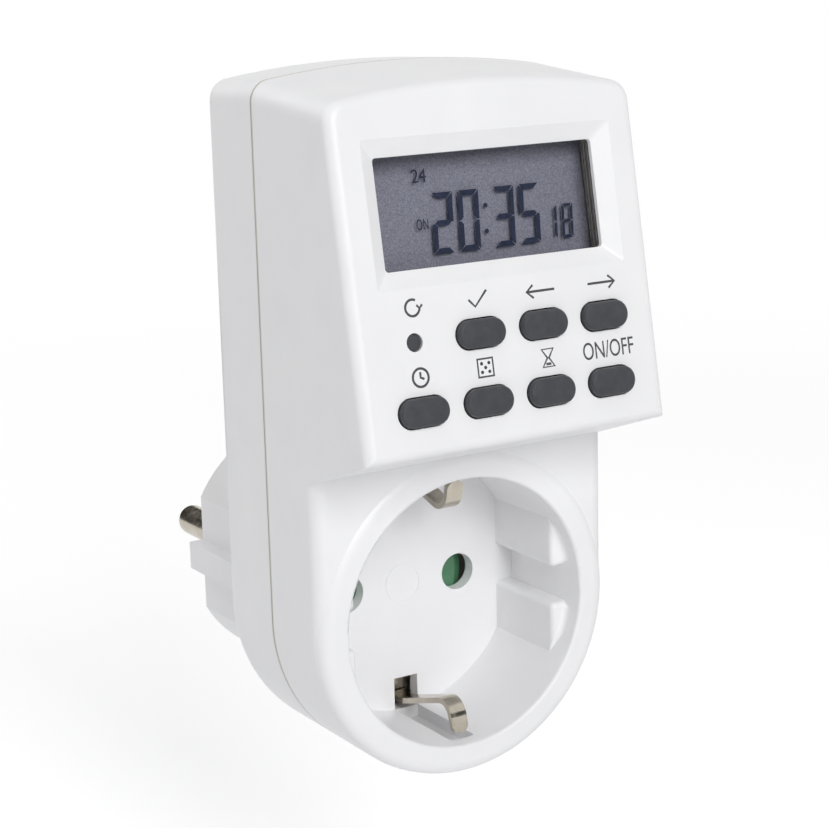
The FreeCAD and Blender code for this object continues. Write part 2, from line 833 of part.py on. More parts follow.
def mains_capacitor():
    body = box(box_capacitor_left, box_capacitor_left + box_capacitor_width,
               power_board_y - box_capacitor_height, power_board_y,
               box_capacitor_z, box_capacitor_z + box_capacitor_thickness)
    return round_edges(body, box_capacitor_round, off_power_board)


def smoothing_capacitor():
    can = cyl(can_dia / 2, power_board_y - can_height, power_board_y, can_x, can_z)
    return round_edges(can, can_round, off_power_board)


def dropper_resistor():
    radius = resistor_dia / 2
    start = V(resistor_x, power_board_y - radius, resistor_z)
    return Part.makeCylinder(radius, resistor_length, start, V(1, 0, 0))


def varistor():
    z = power_post_z - varistor_drop
    middle = power_board_y - varistor_dia / 2 - varistor_standoff
    disc = Part.makeCylinder(varistor_dia / 2, varistor_thickness, V(varistor_x, middle, z), V(0, 0, 1))
    leads = [cyl(lead_dia / 2, middle, power_board_y, varistor_x + side * lead_pitch / 2,
                 z + varistor_thickness / 2) for side in (-1, 1)]
    return disc.fuse(leads)


def rectifier_diodes():
    radius = diode_dia / 2
    bodies = []
    for i in range(diode_count):
        x = (i - (diode_count - 1) / 2) * diode_pitch
        start = V(x, power_board_y - radius, power_post_z + diode_rise)
        bodies.append(Part.makeCylinder(radius, diode_length, start, V(0, 0, 1)))
    return Part.makeCompound(bodies)


def board_cable():
    start = face_point(cable_up, board_back_depth())
    back = face_point(cable_up, board_back_depth() + cable_stand)
    knee = (power_board_y - cable_drop, cable_level_z)
    end = (power_board_y, cable_level_z)
    return strip_in_yz([start, back, knee, end], cable_thickness, cable_bend,
                       cable_left, cable_left + cable_width)


# Shutter
def socket_shutter():
    y0 = floor_back_y + shutter_gap
    y1 = y0 + shutter_thickness
    rotor = cyl(shutter_radius, y0, y1)
    rim = [edge for edge in rotor.Edges if abs(edge.CenterOfMass.y - y0) < near
           and edge.Length > shutter_radius]
    rotor = rotor.makeChamfer(shutter_thickness / 2, shutter_rim_bevel, rim)
    reach = 2 * shutter_radius
    rise = reach * math.tan(math.radians(shutter_half_angle))
    corners = [(0, 0), (reach, rise), (reach, -rise)]
    blades = []
    for side in (-1, 1):
        points = [V(side * x, y0, side * z) for x, z in corners]
        blades.append(rotor.common(face_of(points).extrude(V(0, shutter_thickness, 0))))
    hub = cyl(shutter_hub_dia / 2, y0, y1)
    bore = cyl(shutter_post_dia / 2 + running_clearance, y0 - past, y1 + past)
    return hub.fuse(blades).removeSplitter().cut(bore)


# Two arcs that leave the start and reach the end along their given directions
def two_arcs(start, start_way, end, end_way):
    across = end - start
    both = start_way + end_way
    spread = 2 * (1 - start_way.dot(end_way))
    along = across.dot(both)
    reach = (math.sqrt(along ** 2 + spread * across.dot(across)) - along) / spread
    first = start + start_way * reach
    second = end - end_way * reach
    meeting = (first + second) / 2
    edges = []
    for low, corner, high in ((start, first, meeting), (meeting, second, end)):
        middle = (low + high) / 2
        half_turn = math.atan2((corner - middle).Length, (high - low).Length / 2)
        crest = middle + (corner - middle) * (math.tan(half_turn / 2) / math.tan(half_turn))
        edges.append(Part.Arc(low, crest, high).toShape())
    return edges


def shutter_spring():
    radius = shutter_post_dia / 2 + spring_clearance + spring_wire / 2
    rise = (spring_space - spring_wire - spring_clearance) / spring_quarter_turns
    climb = math.atan2(rise, radius * math.pi / 2)
    front = shutter_back_y + (spring_clearance + spring_wire) / 2
    places = []
    for i in range(spring_quarter_turns + 1):
        angle = i * math.pi / 2
        place = V(radius * math.cos(angle), front + i * rise, radius * math.sin(angle))
        way = V(-math.sin(angle) * math.cos(climb), math.sin(climb), math.cos(angle) * math.cos(climb))
        places.append((place, way))
    edges = []
    for near_end, far_end in zip(places, places[1:]):
        edges += two_arcs(*near_end, *far_end)
    print("least gap between the spring's turns", round(4 * rise - spring_wire, 2))
    profile = Part.Wire(Part.makeCircle(spring_wire / 2, *places[0]))
    return Part.Wire(edges).makePipeShell([profile], True, False)


# Contacts
def contact_carrier():
    reach = plug_inner_r - carrier_inset
    plate = cyl(reach, carrier_y, carrier_back_y)
    flat = clip_bridge_z() - strip_thickness / 2 - strap_gap
    plate = plate.common(box(-reach, reach, carrier_y, carrier_back_y, -flat, flat))
    tube_r = carrier_tube_dia / 2
    end = contact_end_y() + carrier_lip
    tubes = [cyl(tube_r, carrier_y, end, side * contact_x) for side in (-1, 1)]
    room = plug_section(plug_inner_r - carrier_gap, plug_inner_flat - carrier_gap, carrier_y, end)
    tubes = [tube.common(room) for tube in tubes]
    front, back = carrier_y - past, carrier_back_y + past
    holes = [cyl(carrier_hole_dia / 2, front, back, side * contact_x) for side in (-1, 1)]
    pocket = pin_dia / 2 + contact_grip_clearance + contact_wall + contact_room
    holes += [cyl(pocket, carrier_back_y, end + past, side * contact_x) for side in (-1, 1)]
    holes += [cyl(small_screw_dia / 2, front, back, 0, side * carrier_post_offset) for side in (-1, 1)]
    for side in (-1, 1):
        x0, x1 = sorted((side * (contact_x - tube_r - past), side * contact_x))
        slot = tongue_half() + carrier_gap
        holes.append(box(x0, x1, tongue_y() - strap_gap, end + past, -slot, slot))
    x0, x1 = switched_strap_x()
    holes.append(box(x0 - strap_gap, x1 + strap_gap, front, back, switched_low_z() - strap_gap, reach))
    return plate.fuse(tubes).cut(holes)


def contact_end_y():
    return carrier_back_y + contact_seat_gap + contact_length


def tongue_half():
    return strap_width / 2 + tongue_clearance


def tongue_y():
    return contact_end_y() - tongue_inset


def tongue_x():
    outer = contact_x - pin_dia / 2 - contact_grip_clearance
    return outer - contact_wall, outer


def socket_contact(side):
    grip_r = pin_dia / 2 + contact_grip_clearance
    y1 = contact_end_y()
    y0 = y1 - contact_length
    sleeve = cyl(grip_r + contact_wall, y0, y1, side * contact_x)
    sleeve = sleeve.cut(cyl(grip_r, y0 - past, y1 + past, side * contact_x))
    half = contact_slit / 2
    middle = side * contact_x
    sleeve = sleeve.cut(box(middle - half, middle + half, y0 - past, y1 - contact_slit_stop,
                            -pin_dia, pin_dia))
    x0, x1 = sorted((side * tongue_x()[0], side * tongue_x()[1]))
    tongue = box(x0, x1, tongue_y(), y1 + tongue_reach, -tongue_half(), tongue_half())
    return sleeve.fuse(tongue.cut(cyl(grip_r, y0, y1, side * contact_x)))


def clip_bridge_z():
    return plug_earth_z - strip_thickness / 2 - wall - bridge_gap


def earth_clip(side):
    crest_y = socket_face_y + clip_crest_depth
    tip_y = socket_face_y + clip_tip_depth
    points = [(clip_root_y, clip_root_z), (floor_y - clip_bend_setback, clip_root_z),
              (crest_y, clip_crest_z), (tip_y, clip_tip_z)]
    points = [(y, side * z) for y, z in points]
    half = clip_width / 2
    clip = strip_in_yz(points, strip_thickness, clip_bend, -half, half)
    return round_edges(clip, clip_tip_round, lambda edge: abs(edge.Length - strip_thickness) < near
                       and edge.CenterOfMass.y < tip_y + strip_thickness)


def earth_bridge():
    start = clip_root_y + clip_joint_gap
    turn_y = inner_back_y - bridge_wall_gap - strip_thickness / 2
    cross_y = plug_tail_y() - strip_thickness
    inner = clip_bridge_z()
    half = [(start, clip_root_z), (turn_y, clip_root_z), (turn_y, inner), (cross_y, inner)]
    points = half + [(y, -z) for y, z in reversed(half)]
    return strip_in_yz(points, strip_thickness, bridge_bend, -bridge_width / 2, bridge_width / 2)


def plug_tail_y():
    return shell_back_y + plug_tail_inset


def plug_earth(side):
    front_y = -plug_earth_sink - strip_thickness / 2
    inner = plug_earth_z - strip_thickness / 2 - wall
    points = [(plug_tail_y(), inner - plug_tail_length), (plug_tail_y(), plug_earth_z),
              (front_y, plug_earth_z), (front_y, inner)]
    points = [(y, side * z) for y, z in points]
    half = plug_earth_width / 2
    return strip_in_yz(points, strip_thickness, plug_earth_bend, -half, half)


def plug_pin(side):
    x = side * contact_x
    shank = cyl(pin_dia / 2, 0, pin_length, x)
    shank = round_edges(shank, pin_tip_round, lambda edge: edge.CenterOfMass.y > pin_length - near)
    collar = cyl(pin_root_dia / 2, -plug_end_wall, 0, x)
    flange_y = -plug_end_wall - pin_flange_thickness
    flange = cyl(pin_flange_dia / 2, flange_y, -plug_end_wall, x)
    stub = cyl(pin_stub_dia / 2, flange_y - pin_stub_length, flange_y, x)
    return shank.fuse([collar, flange, stub]).removeSplitter()


def pin_hole(side):
    return cyl(pin_stub_dia / 2, strap_y - past, strap_y + past, side * contact_x)


def strap_foot_y():
    return contact_end_y() + carrier_lip


def neutral_strap():
    leg_x = -(tongue_x()[0] - strap_thickness / 2)
    half = strap_width / 2
    points = [(leg_x, strap_foot_y()), (leg_x, strap_y), (-contact_x - half, strap_y)]
    strap = bent_strip(points, strap_thickness, strap_bend, lambda x, y: V(x, y, -half), V(0, 0, strap_width))
    return strap.cut(pin_hole(-1))


def live_tab_z():
    return power_board_bottom + live_tab_rise


def live_strap():
    half = strap_width / 2
    wall_z = math.sqrt(plug_inner_r ** 2 - (contact_x + half) ** 2)
    level = wall_z - strap_thickness / 2 - strap_side_gap
    rise_y = inner_back_y - strap_gap - strap_thickness / 2
    points = [(strap_y, -half - strap_pin_margin), (strap_y, level), (rise_y, level), (rise_y, live_tab_z()),
              (power_board_y - tab_reach, live_tab_z())]
    strap = strip_in_yz(points, strap_thickness, strap_bend, contact_x - half, contact_x + half)
    return strap.cut(pin_hole(1))


def switched_strap_x():
    return tongue_x()[0] - strap_thickness, tongue_x()[0]


def switched_low_z():
    return carrier_tube_dia / 2 + switched_low_gap


def switched_tab_z():
    return power_board_bottom + switched_tab_rise


def switched_strap():
    x0, x1 = switched_strap_x()
    foot, far = strap_foot_y(), strap_foot_y() + strap_width
    low, high = switched_low_z(), switched_low_z() + strap_width
    front = power_board_back_y + slot_gap
    back = inner_back_y - strap_gap
    tab, tab_top = switched_tab_z(), switched_tab_z() + tab_height
    tab_y = power_board_y - tab_reach
    points = [(foot, -tongue_half()), (far, -tongue_half()), (far, high), (back, high), (back, tab_top),
              (tab_y, tab_top), (tab_y, tab), (front, tab), (front, low), (foot, low)]
    return side_slab(points, x0, x1)


# Screws
def housing_screws():
    seat_y = shell_back_y - screw_head_sink
    screws = []
    for head, shank in zip(housing_bosses(screw_head_dia / 2, seat_y, seat_y + screw_head_height),
                           housing_bosses(screw_dia / 2, seat_y - screw_length, seat_y)):
        middle = head.CenterOfMass
        top = seat_y + screw_head_height
        arms = [box(middle.x - a / 2, middle.x + a / 2, top - cross_depth, top + past,
                    middle.z - b / 2, middle.z + b / 2)
                for a, b in ((cross_length, cross_width), (cross_width, cross_length))]
        screws.append(head.fuse(shank).removeSplitter().cut(arms))
    return Part.makeCompound(screws)


def small_screw(base, direction):
    shank = Part.makeCylinder(small_screw_dia / 2, small_screw_length, base, direction)
    head = Part.makeCylinder(small_head_dia / 2, small_head_height, base, direction * -1)
    return shank.fuse(head).removeSplitter()


def small_screws():
    screws = []
    into_face = V(0, -math.cos(tilt), math.sin(tilt))
    for x, up in control_post_places:
        y, z = face_point(up, board_back_depth())
        screws.append(small_screw(V(x, y, z), into_face))
    for side in (-1, 1):
        screws.append(small_screw(V(side * power_post_x, power_board_y, power_post_z), V(0, 1, 0)))
        screws.append(small_screw(V(0, carrier_back_y, side * carrier_post_offset), V(0, -1, 0)))
    return Part.makeCompound(screws)


nodes = {
    "front_housing": front_housing(),
    "rear_housing": rear_housing(),
    "display_window": display_window(),
    "lcd_frame": lcd_frame(),
    "lcd_panel": lcd_panel(),
    "lcd_contact_strip": lcd_contact_strip(),
    "reset_key": reset_key(),
    "keypad_mat": keypad_mat(),
    "control_board": control_board(),
    "control_chip": control_chip(),
    "clock_crystal": clock_crystal(),
    "backup_battery": backup_battery(),
    "power_board": power_board(),
    "relay": relay(),
    "mains_capacitor": mains_capacitor(),
    "smoothing_capacitor": smoothing_capacitor(),
    "dropper_resistor": dropper_resistor(),
    "varistor": varistor(),
    "rectifier_diodes": rectifier_diodes(),
    "board_cable": board_cable(),
    "socket_shutter": socket_shutter(),
    "shutter_spring": shutter_spring(),
    "contact_carrier": contact_carrier(),
    "neutral_contact": socket_contact(-1),
    "live_contact": socket_contact(1),
    "bottom_earth_clip": earth_clip(-1),
    "top_earth_clip": earth_clip(1),
    "earth_bridge": earth_bridge(),
    "bottom_plug_earth": plug_earth(-1),
    "top_plug_earth": plug_earth(1),
    "neutral_pin": plug_pin(-1),
    "live_pin": plug_pin(1),
    "neutral_strap": neutral_strap(),
    "live_strap": live_strap(),
    "switched_strap": switched_strap(),
    "housing_screws": housing_screws(),
    "small_screws": small_screws(),
}
for name, place in key_places().items():
    nodes[name] = key(*place)

os.makedirs("parts", exist_ok=True)
for name, shape in nodes.items():
    shape.exportStep("parts/" + name + ".step")
    print(name, len(shape.Solids), shape.isValid(), round(shape.Volume, 1))
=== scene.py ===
import json
import math

import bpy
from mathutils import Matrix, Vector


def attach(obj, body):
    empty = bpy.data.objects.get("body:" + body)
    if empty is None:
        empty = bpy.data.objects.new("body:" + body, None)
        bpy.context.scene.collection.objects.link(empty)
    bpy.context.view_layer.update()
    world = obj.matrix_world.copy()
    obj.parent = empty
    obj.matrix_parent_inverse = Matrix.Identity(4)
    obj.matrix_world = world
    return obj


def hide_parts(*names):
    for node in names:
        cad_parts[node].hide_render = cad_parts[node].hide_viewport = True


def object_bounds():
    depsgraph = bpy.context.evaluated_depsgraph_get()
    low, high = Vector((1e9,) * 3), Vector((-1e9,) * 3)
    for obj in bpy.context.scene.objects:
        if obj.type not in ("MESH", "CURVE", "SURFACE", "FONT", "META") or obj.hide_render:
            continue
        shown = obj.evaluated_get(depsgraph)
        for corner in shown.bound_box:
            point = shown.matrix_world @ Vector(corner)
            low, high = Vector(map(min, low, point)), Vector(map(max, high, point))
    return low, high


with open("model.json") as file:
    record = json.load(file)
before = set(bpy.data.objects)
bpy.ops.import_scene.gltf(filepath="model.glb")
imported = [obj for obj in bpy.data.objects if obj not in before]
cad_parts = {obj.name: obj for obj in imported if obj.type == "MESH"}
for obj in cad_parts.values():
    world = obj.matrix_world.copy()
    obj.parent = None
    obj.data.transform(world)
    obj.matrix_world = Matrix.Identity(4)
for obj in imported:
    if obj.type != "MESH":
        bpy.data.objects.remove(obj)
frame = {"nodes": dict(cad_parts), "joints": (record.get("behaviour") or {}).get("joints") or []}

mm = 0.001
nodes = frame["nodes"]
cadLow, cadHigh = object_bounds()

# The console leans back, and its keys move straight into it
keyJoint = next(joint for joint in frame["joints"] if joint["name"] == "set_key_press")
intoFace = Vector(keyJoint["axis"]).normalized()
upFace = Vector((0, -intoFace.z, intoFace.y))


def faceExtent(node):
    spots = [vertex.co for vertex in nodes[node].data.vertices]
    ups = [spot.dot(upFace) for spot in spots]
    depths = [spot.dot(intoFace) for spot in spots]
    across = [spot.x for spot in spots]
    return min(across), max(across), min(ups), max(ups), min(depths), max(depths)


# Places on the console are given across, up from its bottom edge and behind its face
lowRowUp = 5.8  # from that edge to the middles of the lowest keys
lowKeys = faceExtent("clock_key")
faceStart = {"up": (lowKeys[2] + lowKeys[3]) / 2 - lowRowUp * mm,
             "depth": faceExtent("front_housing")[4]}


def faceMatrix(x, up, depth):
    place = upFace * (faceStart["up"] + up * mm) + intoFace * (faceStart["depth"] + depth * mm)
    place.x = x * mm
    turn = Matrix((Vector((1, 0, 0)), upFace, -intoFace)).transposed()
    return Matrix.Translation(place) @ turn.to_4x4()


# Small helpers for modelling
def deselectAll():
    bpy.ops.object.select_all(action="DESELECT")


def chooseOnly(piece):
    deselectAll()
    piece.select_set(True)
    bpy.context.view_layer.objects.active = piece


def editMode():
    bpy.ops.object.mode_set(mode="EDIT")


def objectMode():
    bpy.ops.object.mode_set(mode="OBJECT")


def pickVerts(piece, wanted):
    objectMode()
    for polygon in piece.data.polygons:
        polygon.select = False
    for edge in piece.data.edges:
        edge.select = False
    for vertex in piece.data.vertices:
        vertex.select = wanted(vertex.co)
    editMode()
    bpy.ops.mesh.select_mode(type="VERT")


def applyModifiers(piece):
    chooseOnly(piece)
    for modifier in list(piece.modifiers):
        bpy.ops.object.modifier_apply(modifier=modifier.name)


def settle(piece, matrix):
    piece.matrix_world = matrix @ piece.matrix_world
    chooseOnly(piece)
    bpy.ops.object.transform_apply(location=True, rotation=True, scale=True)


def copyPiece(piece, name):
    twin = piece.copy()
    twin.data = piece.data.copy()
    twin.name = name
    bpy.context.scene.collection.objects.link(twin)
    return twin


# A block between two corners, in millimetres
def block(name, low, high):
    middle = [(a + b) / 2 * mm for a, b in zip(low, high)]
    deselectAll()
    bpy.ops.mesh.primitive_cube_add(size=mm, location=middle)
    piece = bpy.context.object
    piece.name = name
    editMode()
    bpy.ops.transform.resize(value=[b - a for a, b in zip(low, high)], center_override=middle)
    objectMode()
    bpy.ops.object.transform_apply(location=True, rotation=True, scale=True)
    return piece


def carve(piece, tool):
    cut = piece.modifiers.new("cut", "BOOLEAN")
    cut.operation = "DIFFERENCE"
    cut.object = tool
    applyModifiers(piece)
    bpy.data.objects.remove(tool)


def soften(piece, width):
    edge = piece.modifiers.new("edge", "BEVEL")
    edge.width = width * mm
    edge.segments = 2
    edge.limit_method = "ANGLE"
    applyModifiers(piece)


# A block on the console, by its reach across, up and behind the face
def faceBlock(name, across, ups, depths):
    return block(name, (across[0], ups[0], -depths[1]), (across[1], ups[1], -depths[0]))


def join(pieces, name):
    deselectAll()
    for piece in pieces:
        piece.select_set(True)
    bpy.context.view_layer.objects.active = pieces[0]
    bpy.ops.object.join()
    pieces[0].name = name
    return pieces[0]


def setMaterial(piece, material):
    piece.data.materials.clear()
    piece.data.materials.append(material)


def fit(piece, finish, body="housing", instead=()):
    setMaterial(piece, finishes[finish])
    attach(piece, body)
    for node in instead:
        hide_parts(node)


# Materials
def colour(code):
    channels = [int(code[i:i + 2], 16) / 255 for i in (0, 2, 4)]
    return tuple([c / 12.92 if c <= 0.04045 else ((c + 0.055) / 1.055) ** 2.4 for c in channels] + [1])


def addNode(tree, kind, inputs=(), **settings):
    node = tree.nodes.new(kind)
    for name, value in settings.items():
        setattr(node, name, value)
    for name, value in dict(inputs).items():
        socket = node.inputs[name]
        if isinstance(value, bpy.types.NodeSocket):
            tree.links.new(value, socket)
        else:
            socket.default_value = value
    return node


def startMaterial(name):
    material = bpy.data.materials.new(name)
    material.use_nodes = True
    tree = material.node_tree
    shader = next(node for node in tree.nodes if node.type == "BSDF_PRINCIPLED")
    where = addNode(tree, "ShaderNodeTexCoord").outputs["Object"]
    return material, tree, shader, where


# How many pattern cells fit in a metre when one is size millimetres across
def perMetre(size):
    return 1 / (size * mm)


def mottle(tree, where, size, low, high, detail=2.0):
    noise = addNode(tree, "ShaderNodeTexNoise",
                    {"Vector": where, "Scale": perMetre(size), "Detail": detail, "Roughness": 0.55})
    ramp = addNode(tree, "ShaderNodeMapRange",  # the noise seldom goes past 0.3 or 0.7
                   {"Value": noise.outputs["Fac"], "From Min": 0.3, "From Max": 0.7,
                    "To Min": low, "To Max": high})
    return ramp.outputs["Result"]


def tint(tree, factor, first, second):
    mix = addNode(tree, "ShaderNodeMix", {"Factor": factor}, data_type="RGBA")
    mix.inputs["A"].default_value = colour(first)
    mix.inputs["B"].default_value = colour(second)
    return mix.outputs["Result"]


def bumpFrom(tree, height, depth, strength=1.0):
    bump = addNode(tree, "ShaderNodeBump",
                   {"Height": height, "Distance": depth * mm, "Strength": strength})
    return bump.outputs["Normal"]


# Plastics: a spark-eroded mould leaves a fine grain, and slight mottle in the tone. The real grain
# is about 0.1 mm or less, and most of it is drawn two to four times coarser so that it shows.
def mouldedPlastic(name, look):
    material, tree, shader, where = startMaterial(name)
    shade = tint(tree, mottle(tree, where, look["mottleSize"], 0, 1), look["dark"], look["light"])
    grain = addNode(tree, "ShaderNodeTexNoise",
                    {"Vector": where, "Scale": perMetre(look["grainSize"]), "Detail": 3.0,
                     "Roughness": 0.6})
    tree.links.new(shade, shader.inputs["Base Color"])
    rough = mottle(tree, where, look["mottleSize"] * 0.6, look["roughness"] - look["roughSpread"],
                   look["roughness"] + look["roughSpread"])
    tree.links.new(rough, shader.inputs["Roughness"])
    tree.links.new(bumpFrom(tree, grain.outputs["Fac"], look["grainDepth"]), shader.inputs["Normal"])
    shader.inputs["IOR"].default_value = look["ior"]
    shader.inputs["Sheen Weight"].default_value = look.get("sheen", 0.0)
    return material


# Metals: fine scratches drawn out along one way, and patches where the plating has dulled. Real
# scratches are a few hundredths of a millimetre wide, and are drawn coarser so that they show.
def workedMetal(name, look):
    material, tree, shader, where = startMaterial(name)
    stretched = addNode(tree, "ShaderNodeMapping", {"Vector": where, "Scale": look["stretch"]})
    lines = addNode(tree, "ShaderNodeTexNoise",
                    {"Vector": stretched.outputs["Vector"], "Scale": perMetre(look["lineSize"]),
                     "Detail": 4.0})
    shade = tint(tree, mottle(tree, where, look["patchSize"], 0, 1), look["dark"], look["light"])
    tree.links.new(shade, shader.inputs["Base Color"])
    rough = mottle(tree, where, look["patchSize"] * 0.5, look["roughness"] * 0.75,
                   look["roughness"] * 1.3)
    tree.links.new(rough, shader.inputs["Roughness"])
    tree.links.new(bumpFrom(tree, lines.outputs["Fac"], look["lineDepth"]), shader.inputs["Normal"])
    shader.inputs["Metallic"].default_value = 1.0
    return material


plasticLooks = {
    # satin moulded ABS: bright, soft highlights on the rounded edges
    "whiteAbs": {"light": "F6F6F7", "dark": "F3F3F5", "roughness": 0.42, "roughSpread": 0.03, "ior": 1.54,
                 "grainSize": 0.22, "grainDepth": 0.006, "mottleSize": 9.0},
    # silicone rubber: matte, dusty, slightly lighter where it catches light
    "keyRubber": {"light": "3F4045", "dark": "36373C", "roughness": 0.55, "roughSpread": 0.06, "ior": 1.43,
                  "sheen": 0.12, "grainSize": 0.16, "grainDepth": 0.012, "mottleSize": 1.6},
    # layered conductive rubber: dull salmon pink
    "contactRubber": {"light": "D79A86", "dark": "C48874", "roughness": 0.7, "roughSpread": 0.05, "ior": 1.43,
                      "grainSize": 0.2, "grainDepth": 0.006, "mottleSize": 1.2},
    # black moulded ABS: low, soft highlights
    "blackAbs": {"light": "1B1B1D", "dark": "151517", "roughness": 0.45, "roughSpread": 0.05, "ior": 1.54,
                 "grainSize": 0.2, "grainDepth": 0.006, "mottleSize": 3.0},
    # moulded polyester: smooth, charcoal and a little shiny
    "relayCase": {"light": "26282C", "dark": "1F2125", "roughness": 0.28, "roughSpread": 0.04, "ior": 1.57,
                  "grainSize": 0.3, "grainDepth": 0.004, "mottleSize": 4.0},
    # moulded polyester box of a film capacitor: even, warm yellow
    "capacitorBox": {"light": "D9B843", "dark": "CBA936", "roughness": 0.38, "roughSpread": 0.05, "ior": 1.57,
                     "grainSize": 0.3, "grainDepth": 0.005, "mottleSize": 4.0},
    # shrunk vinyl sleeve: dark blue with a clean gloss
    "canSleeve": {"light": "232A4E", "dark": "1C2242", "roughness": 0.3, "roughSpread": 0.05, "ior": 1.54,
                  "grainSize": 0.4, "grainDepth": 0.004, "mottleSize": 3.0},
    # baked lacquer: grey blue, slightly lumpy
    "resistorLacquer": {"light": "8FA3B8", "dark": "8295AA", "roughness": 0.35, "roughSpread": 0.06,
                        "ior": 1.5, "grainSize": 0.3, "grainDepth": 0.008, "mottleSize": 1.5},
    # dipped epoxy: strong blue with an uneven gloss
    "varistorEpoxy": {"light": "2F55A0", "dark": "264890", "roughness": 0.35, "roughSpread": 0.06,
                      "ior": 1.55, "grainSize": 0.5, "grainDepth": 0.012, "mottleSize": 2.0},
    # moulded epoxy: flat black
    "diodeEpoxy": {"light": "1D1D1E", "dark": "161617", "roughness": 0.4, "roughSpread": 0.05, "ior": 1.55,
                   "grainSize": 0.2, "grainDepth": 0.006, "mottleSize": 1.5},
    # sand-finished chip package: charcoal and quite matte
    "chipEpoxy": {"light": "242427", "dark": "1B1B1E", "roughness": 0.55, "roughSpread": 0.06, "ior": 1.55,
                  "grainSize": 0.18, "grainDepth": 0.008, "mottleSize": 2.0},
    # extruded vinyl ribbon: plain mid grey
    "cableVinyl": {"light": "A7A8AC", "dark": "9A9B9F", "roughness": 0.45, "roughSpread": 0.05, "ior": 1.53,
                   "grainSize": 0.3, "grainDepth": 0.006, "mottleSize": 2.0},
    # acetal: a waxy, evenly coloured engineering plastic
    "shutterAcetal": {"light": "578866", "dark": "4D7D5C", "roughness": 0.34, "roughSpread": 0.04,
                      "ior": 1.48, "grainSize": 0.3, "grainDepth": 0.004, "mottleSize": 4.0},
    # uncoloured moulded polyamide: milky, faintly yellow
    "polyamide": {"light": "D8D6CC", "dark": "CDCABF", "roughness": 0.45, "roughSpread": 0.05, "ior": 1.53,
                  "grainSize": 0.25, "grainDepth": 0.006, "mottleSize": 5.0},
    # the display's holder: warm grey acrylic, darker the deeper it lies in its own shade
    "smokyAcrylic": {"light": "96928B", "dark": "827E77", "roughness": 0.3, "roughSpread": 0.05, "ior": 1.49,
                     "grainSize": 0.3, "grainDepth": 0.004, "mottleSize": 2.0},
    # printed ink: flat and slightly rough
    "legendInk": {"light": "4C4C50", "dark": "444448", "roughness": 0.6, "roughSpread": 0.05, "ior": 1.5,
                  "grainSize": 0.1, "grainDepth": 0.003, "mottleSize": 0.6},
    # the liquid crystal's dark state, blue-black seen through its polariser
    "segmentDark": {"light": "3C455D", "dark": "353E56", "roughness": 0.5, "roughSpread": 0.04, "ior": 1.5,
                    "grainSize": 0.1, "grainDepth": 0.001, "mottleSize": 1.0},
}

metalLooks = {
    # nickel plate over brass: warm grey, smooth, a little dulled
    "nickelPlate": {"light": "C2BBAE", "dark": "ACA598", "roughness": 0.2, "patchSize": 2.5,
                    "lineSize": 0.12, "lineDepth": 0.002, "stretch": (1.0, 0.08, 1.0)},
    # stamped brass strip: yellow, lined by the rolling
    "stampedBrass": {"light": "D9B566", "dark": "C8A252", "roughness": 0.28, "patchSize": 2.0,
                     "lineSize": 0.15, "lineDepth": 0.003, "stretch": (1.0, 0.1, 1.0)},
    # drawn steel wire: neutral grey, lined along its length
    "drawnWire": {"light": "BEBEBE", "dark": "A9A9AA", "roughness": 0.3, "patchSize": 1.0,
                  "lineSize": 0.1, "lineDepth": 0.002, "stretch": (1.0, 1.0, 0.1)},
    # zinc-plated steel: cool grey, slightly cloudy
    "zincPlate": {"light": "C6C9CB", "dark": "AEB2B5", "roughness": 0.32, "patchSize": 1.6,
                  "lineSize": 0.12, "lineDepth": 0.003, "stretch": (1.0, 1.0, 1.0)},
    # deep-drawn nickel silver: pale and smooth
    "drawnCan": {"light": "CFCFCC", "dark": "BDBDBA", "roughness": 0.24, "patchSize": 2.5,
                 "lineSize": 0.15, "lineDepth": 0.002, "stretch": (1.0, 1.0, 0.15)},
}

finishes = {name: mouldedPlastic(name, look) for name, look in plasticLooks.items()}
finishes.update({name: workedMetal(name, look) for name, look in metalLooks.items()})


# Lays a second tone over a finish, as much of it as shareOf gives at each place
def paintOver(finish, shade, shareOf):
    tree = finishes[finish].node_tree
    shader = next(node for node in tree.nodes if node.type == "BSDF_PRINCIPLED")
    plain = shader.inputs["Base Color"].links[0].from_socket
    where = addNode(tree, "ShaderNodeTexCoord").outputs["Object"]
    line = addNode(tree, "ShaderNodeMix", {"Factor": shareOf(tree, where)}, data_type="RGBA")
    tree.links.new(plain, line.inputs["A"])
    line.inputs["B"].default_value = colour(shade)
    tree.links.new(line.outputs["Result"], shader.inputs["Base Color"])


# Where the two shells meet, dust and shade draw a fine warm grey line round the body
seam = {"y": -36.5, "halfWidth": 0.2, "fade": 0.12, "shade": "CDCAC1", "outside": 21.5}


def seamShare(tree, where):
    along = addNode(tree, "ShaderNodeSeparateXYZ", {"Vector": where}).outputs["Y"]
    offset = addNode(tree, "ShaderNodeMath", {0: along, 1: seam["y"] * mm}, operation="SUBTRACT")
    distance = addNode(tree, "ShaderNodeMath", {0: offset.outputs["Value"]}, operation="ABSOLUTE")
    near = addNode(tree, "ShaderNodeMapRange",
                   {"Value": distance.outputs["Value"], "From Min": seam["halfWidth"] * mm,
                    "From Max": (seam["halfWidth"] + seam["fade"]) * mm, "To Min": 1, "To Max": 0})
    aside = addNode(tree, "ShaderNodeVectorMath", {0: where, 1: (1, 0, 1)}, operation="MULTIPLY")
    reach = addNode(tree, "ShaderNodeVectorMath", {0: aside.outputs["Vector"]}, operation="LENGTH")
    outer = addNode(tree, "ShaderNodeMath", {0: reach.outputs["Value"], 1: seam["outside"] * mm},
                    operation="GREATER_THAN")  # the socket's recess is one piece, with no seam in it
    share = addNode(tree, "ShaderNodeMath", {0: near.outputs["Result"], 1: outer.outputs["Value"]},
                    operation="MULTIPLY")
    return share.outputs["Value"]


paintOver("whiteAbs", seam["shade"], seamShare)

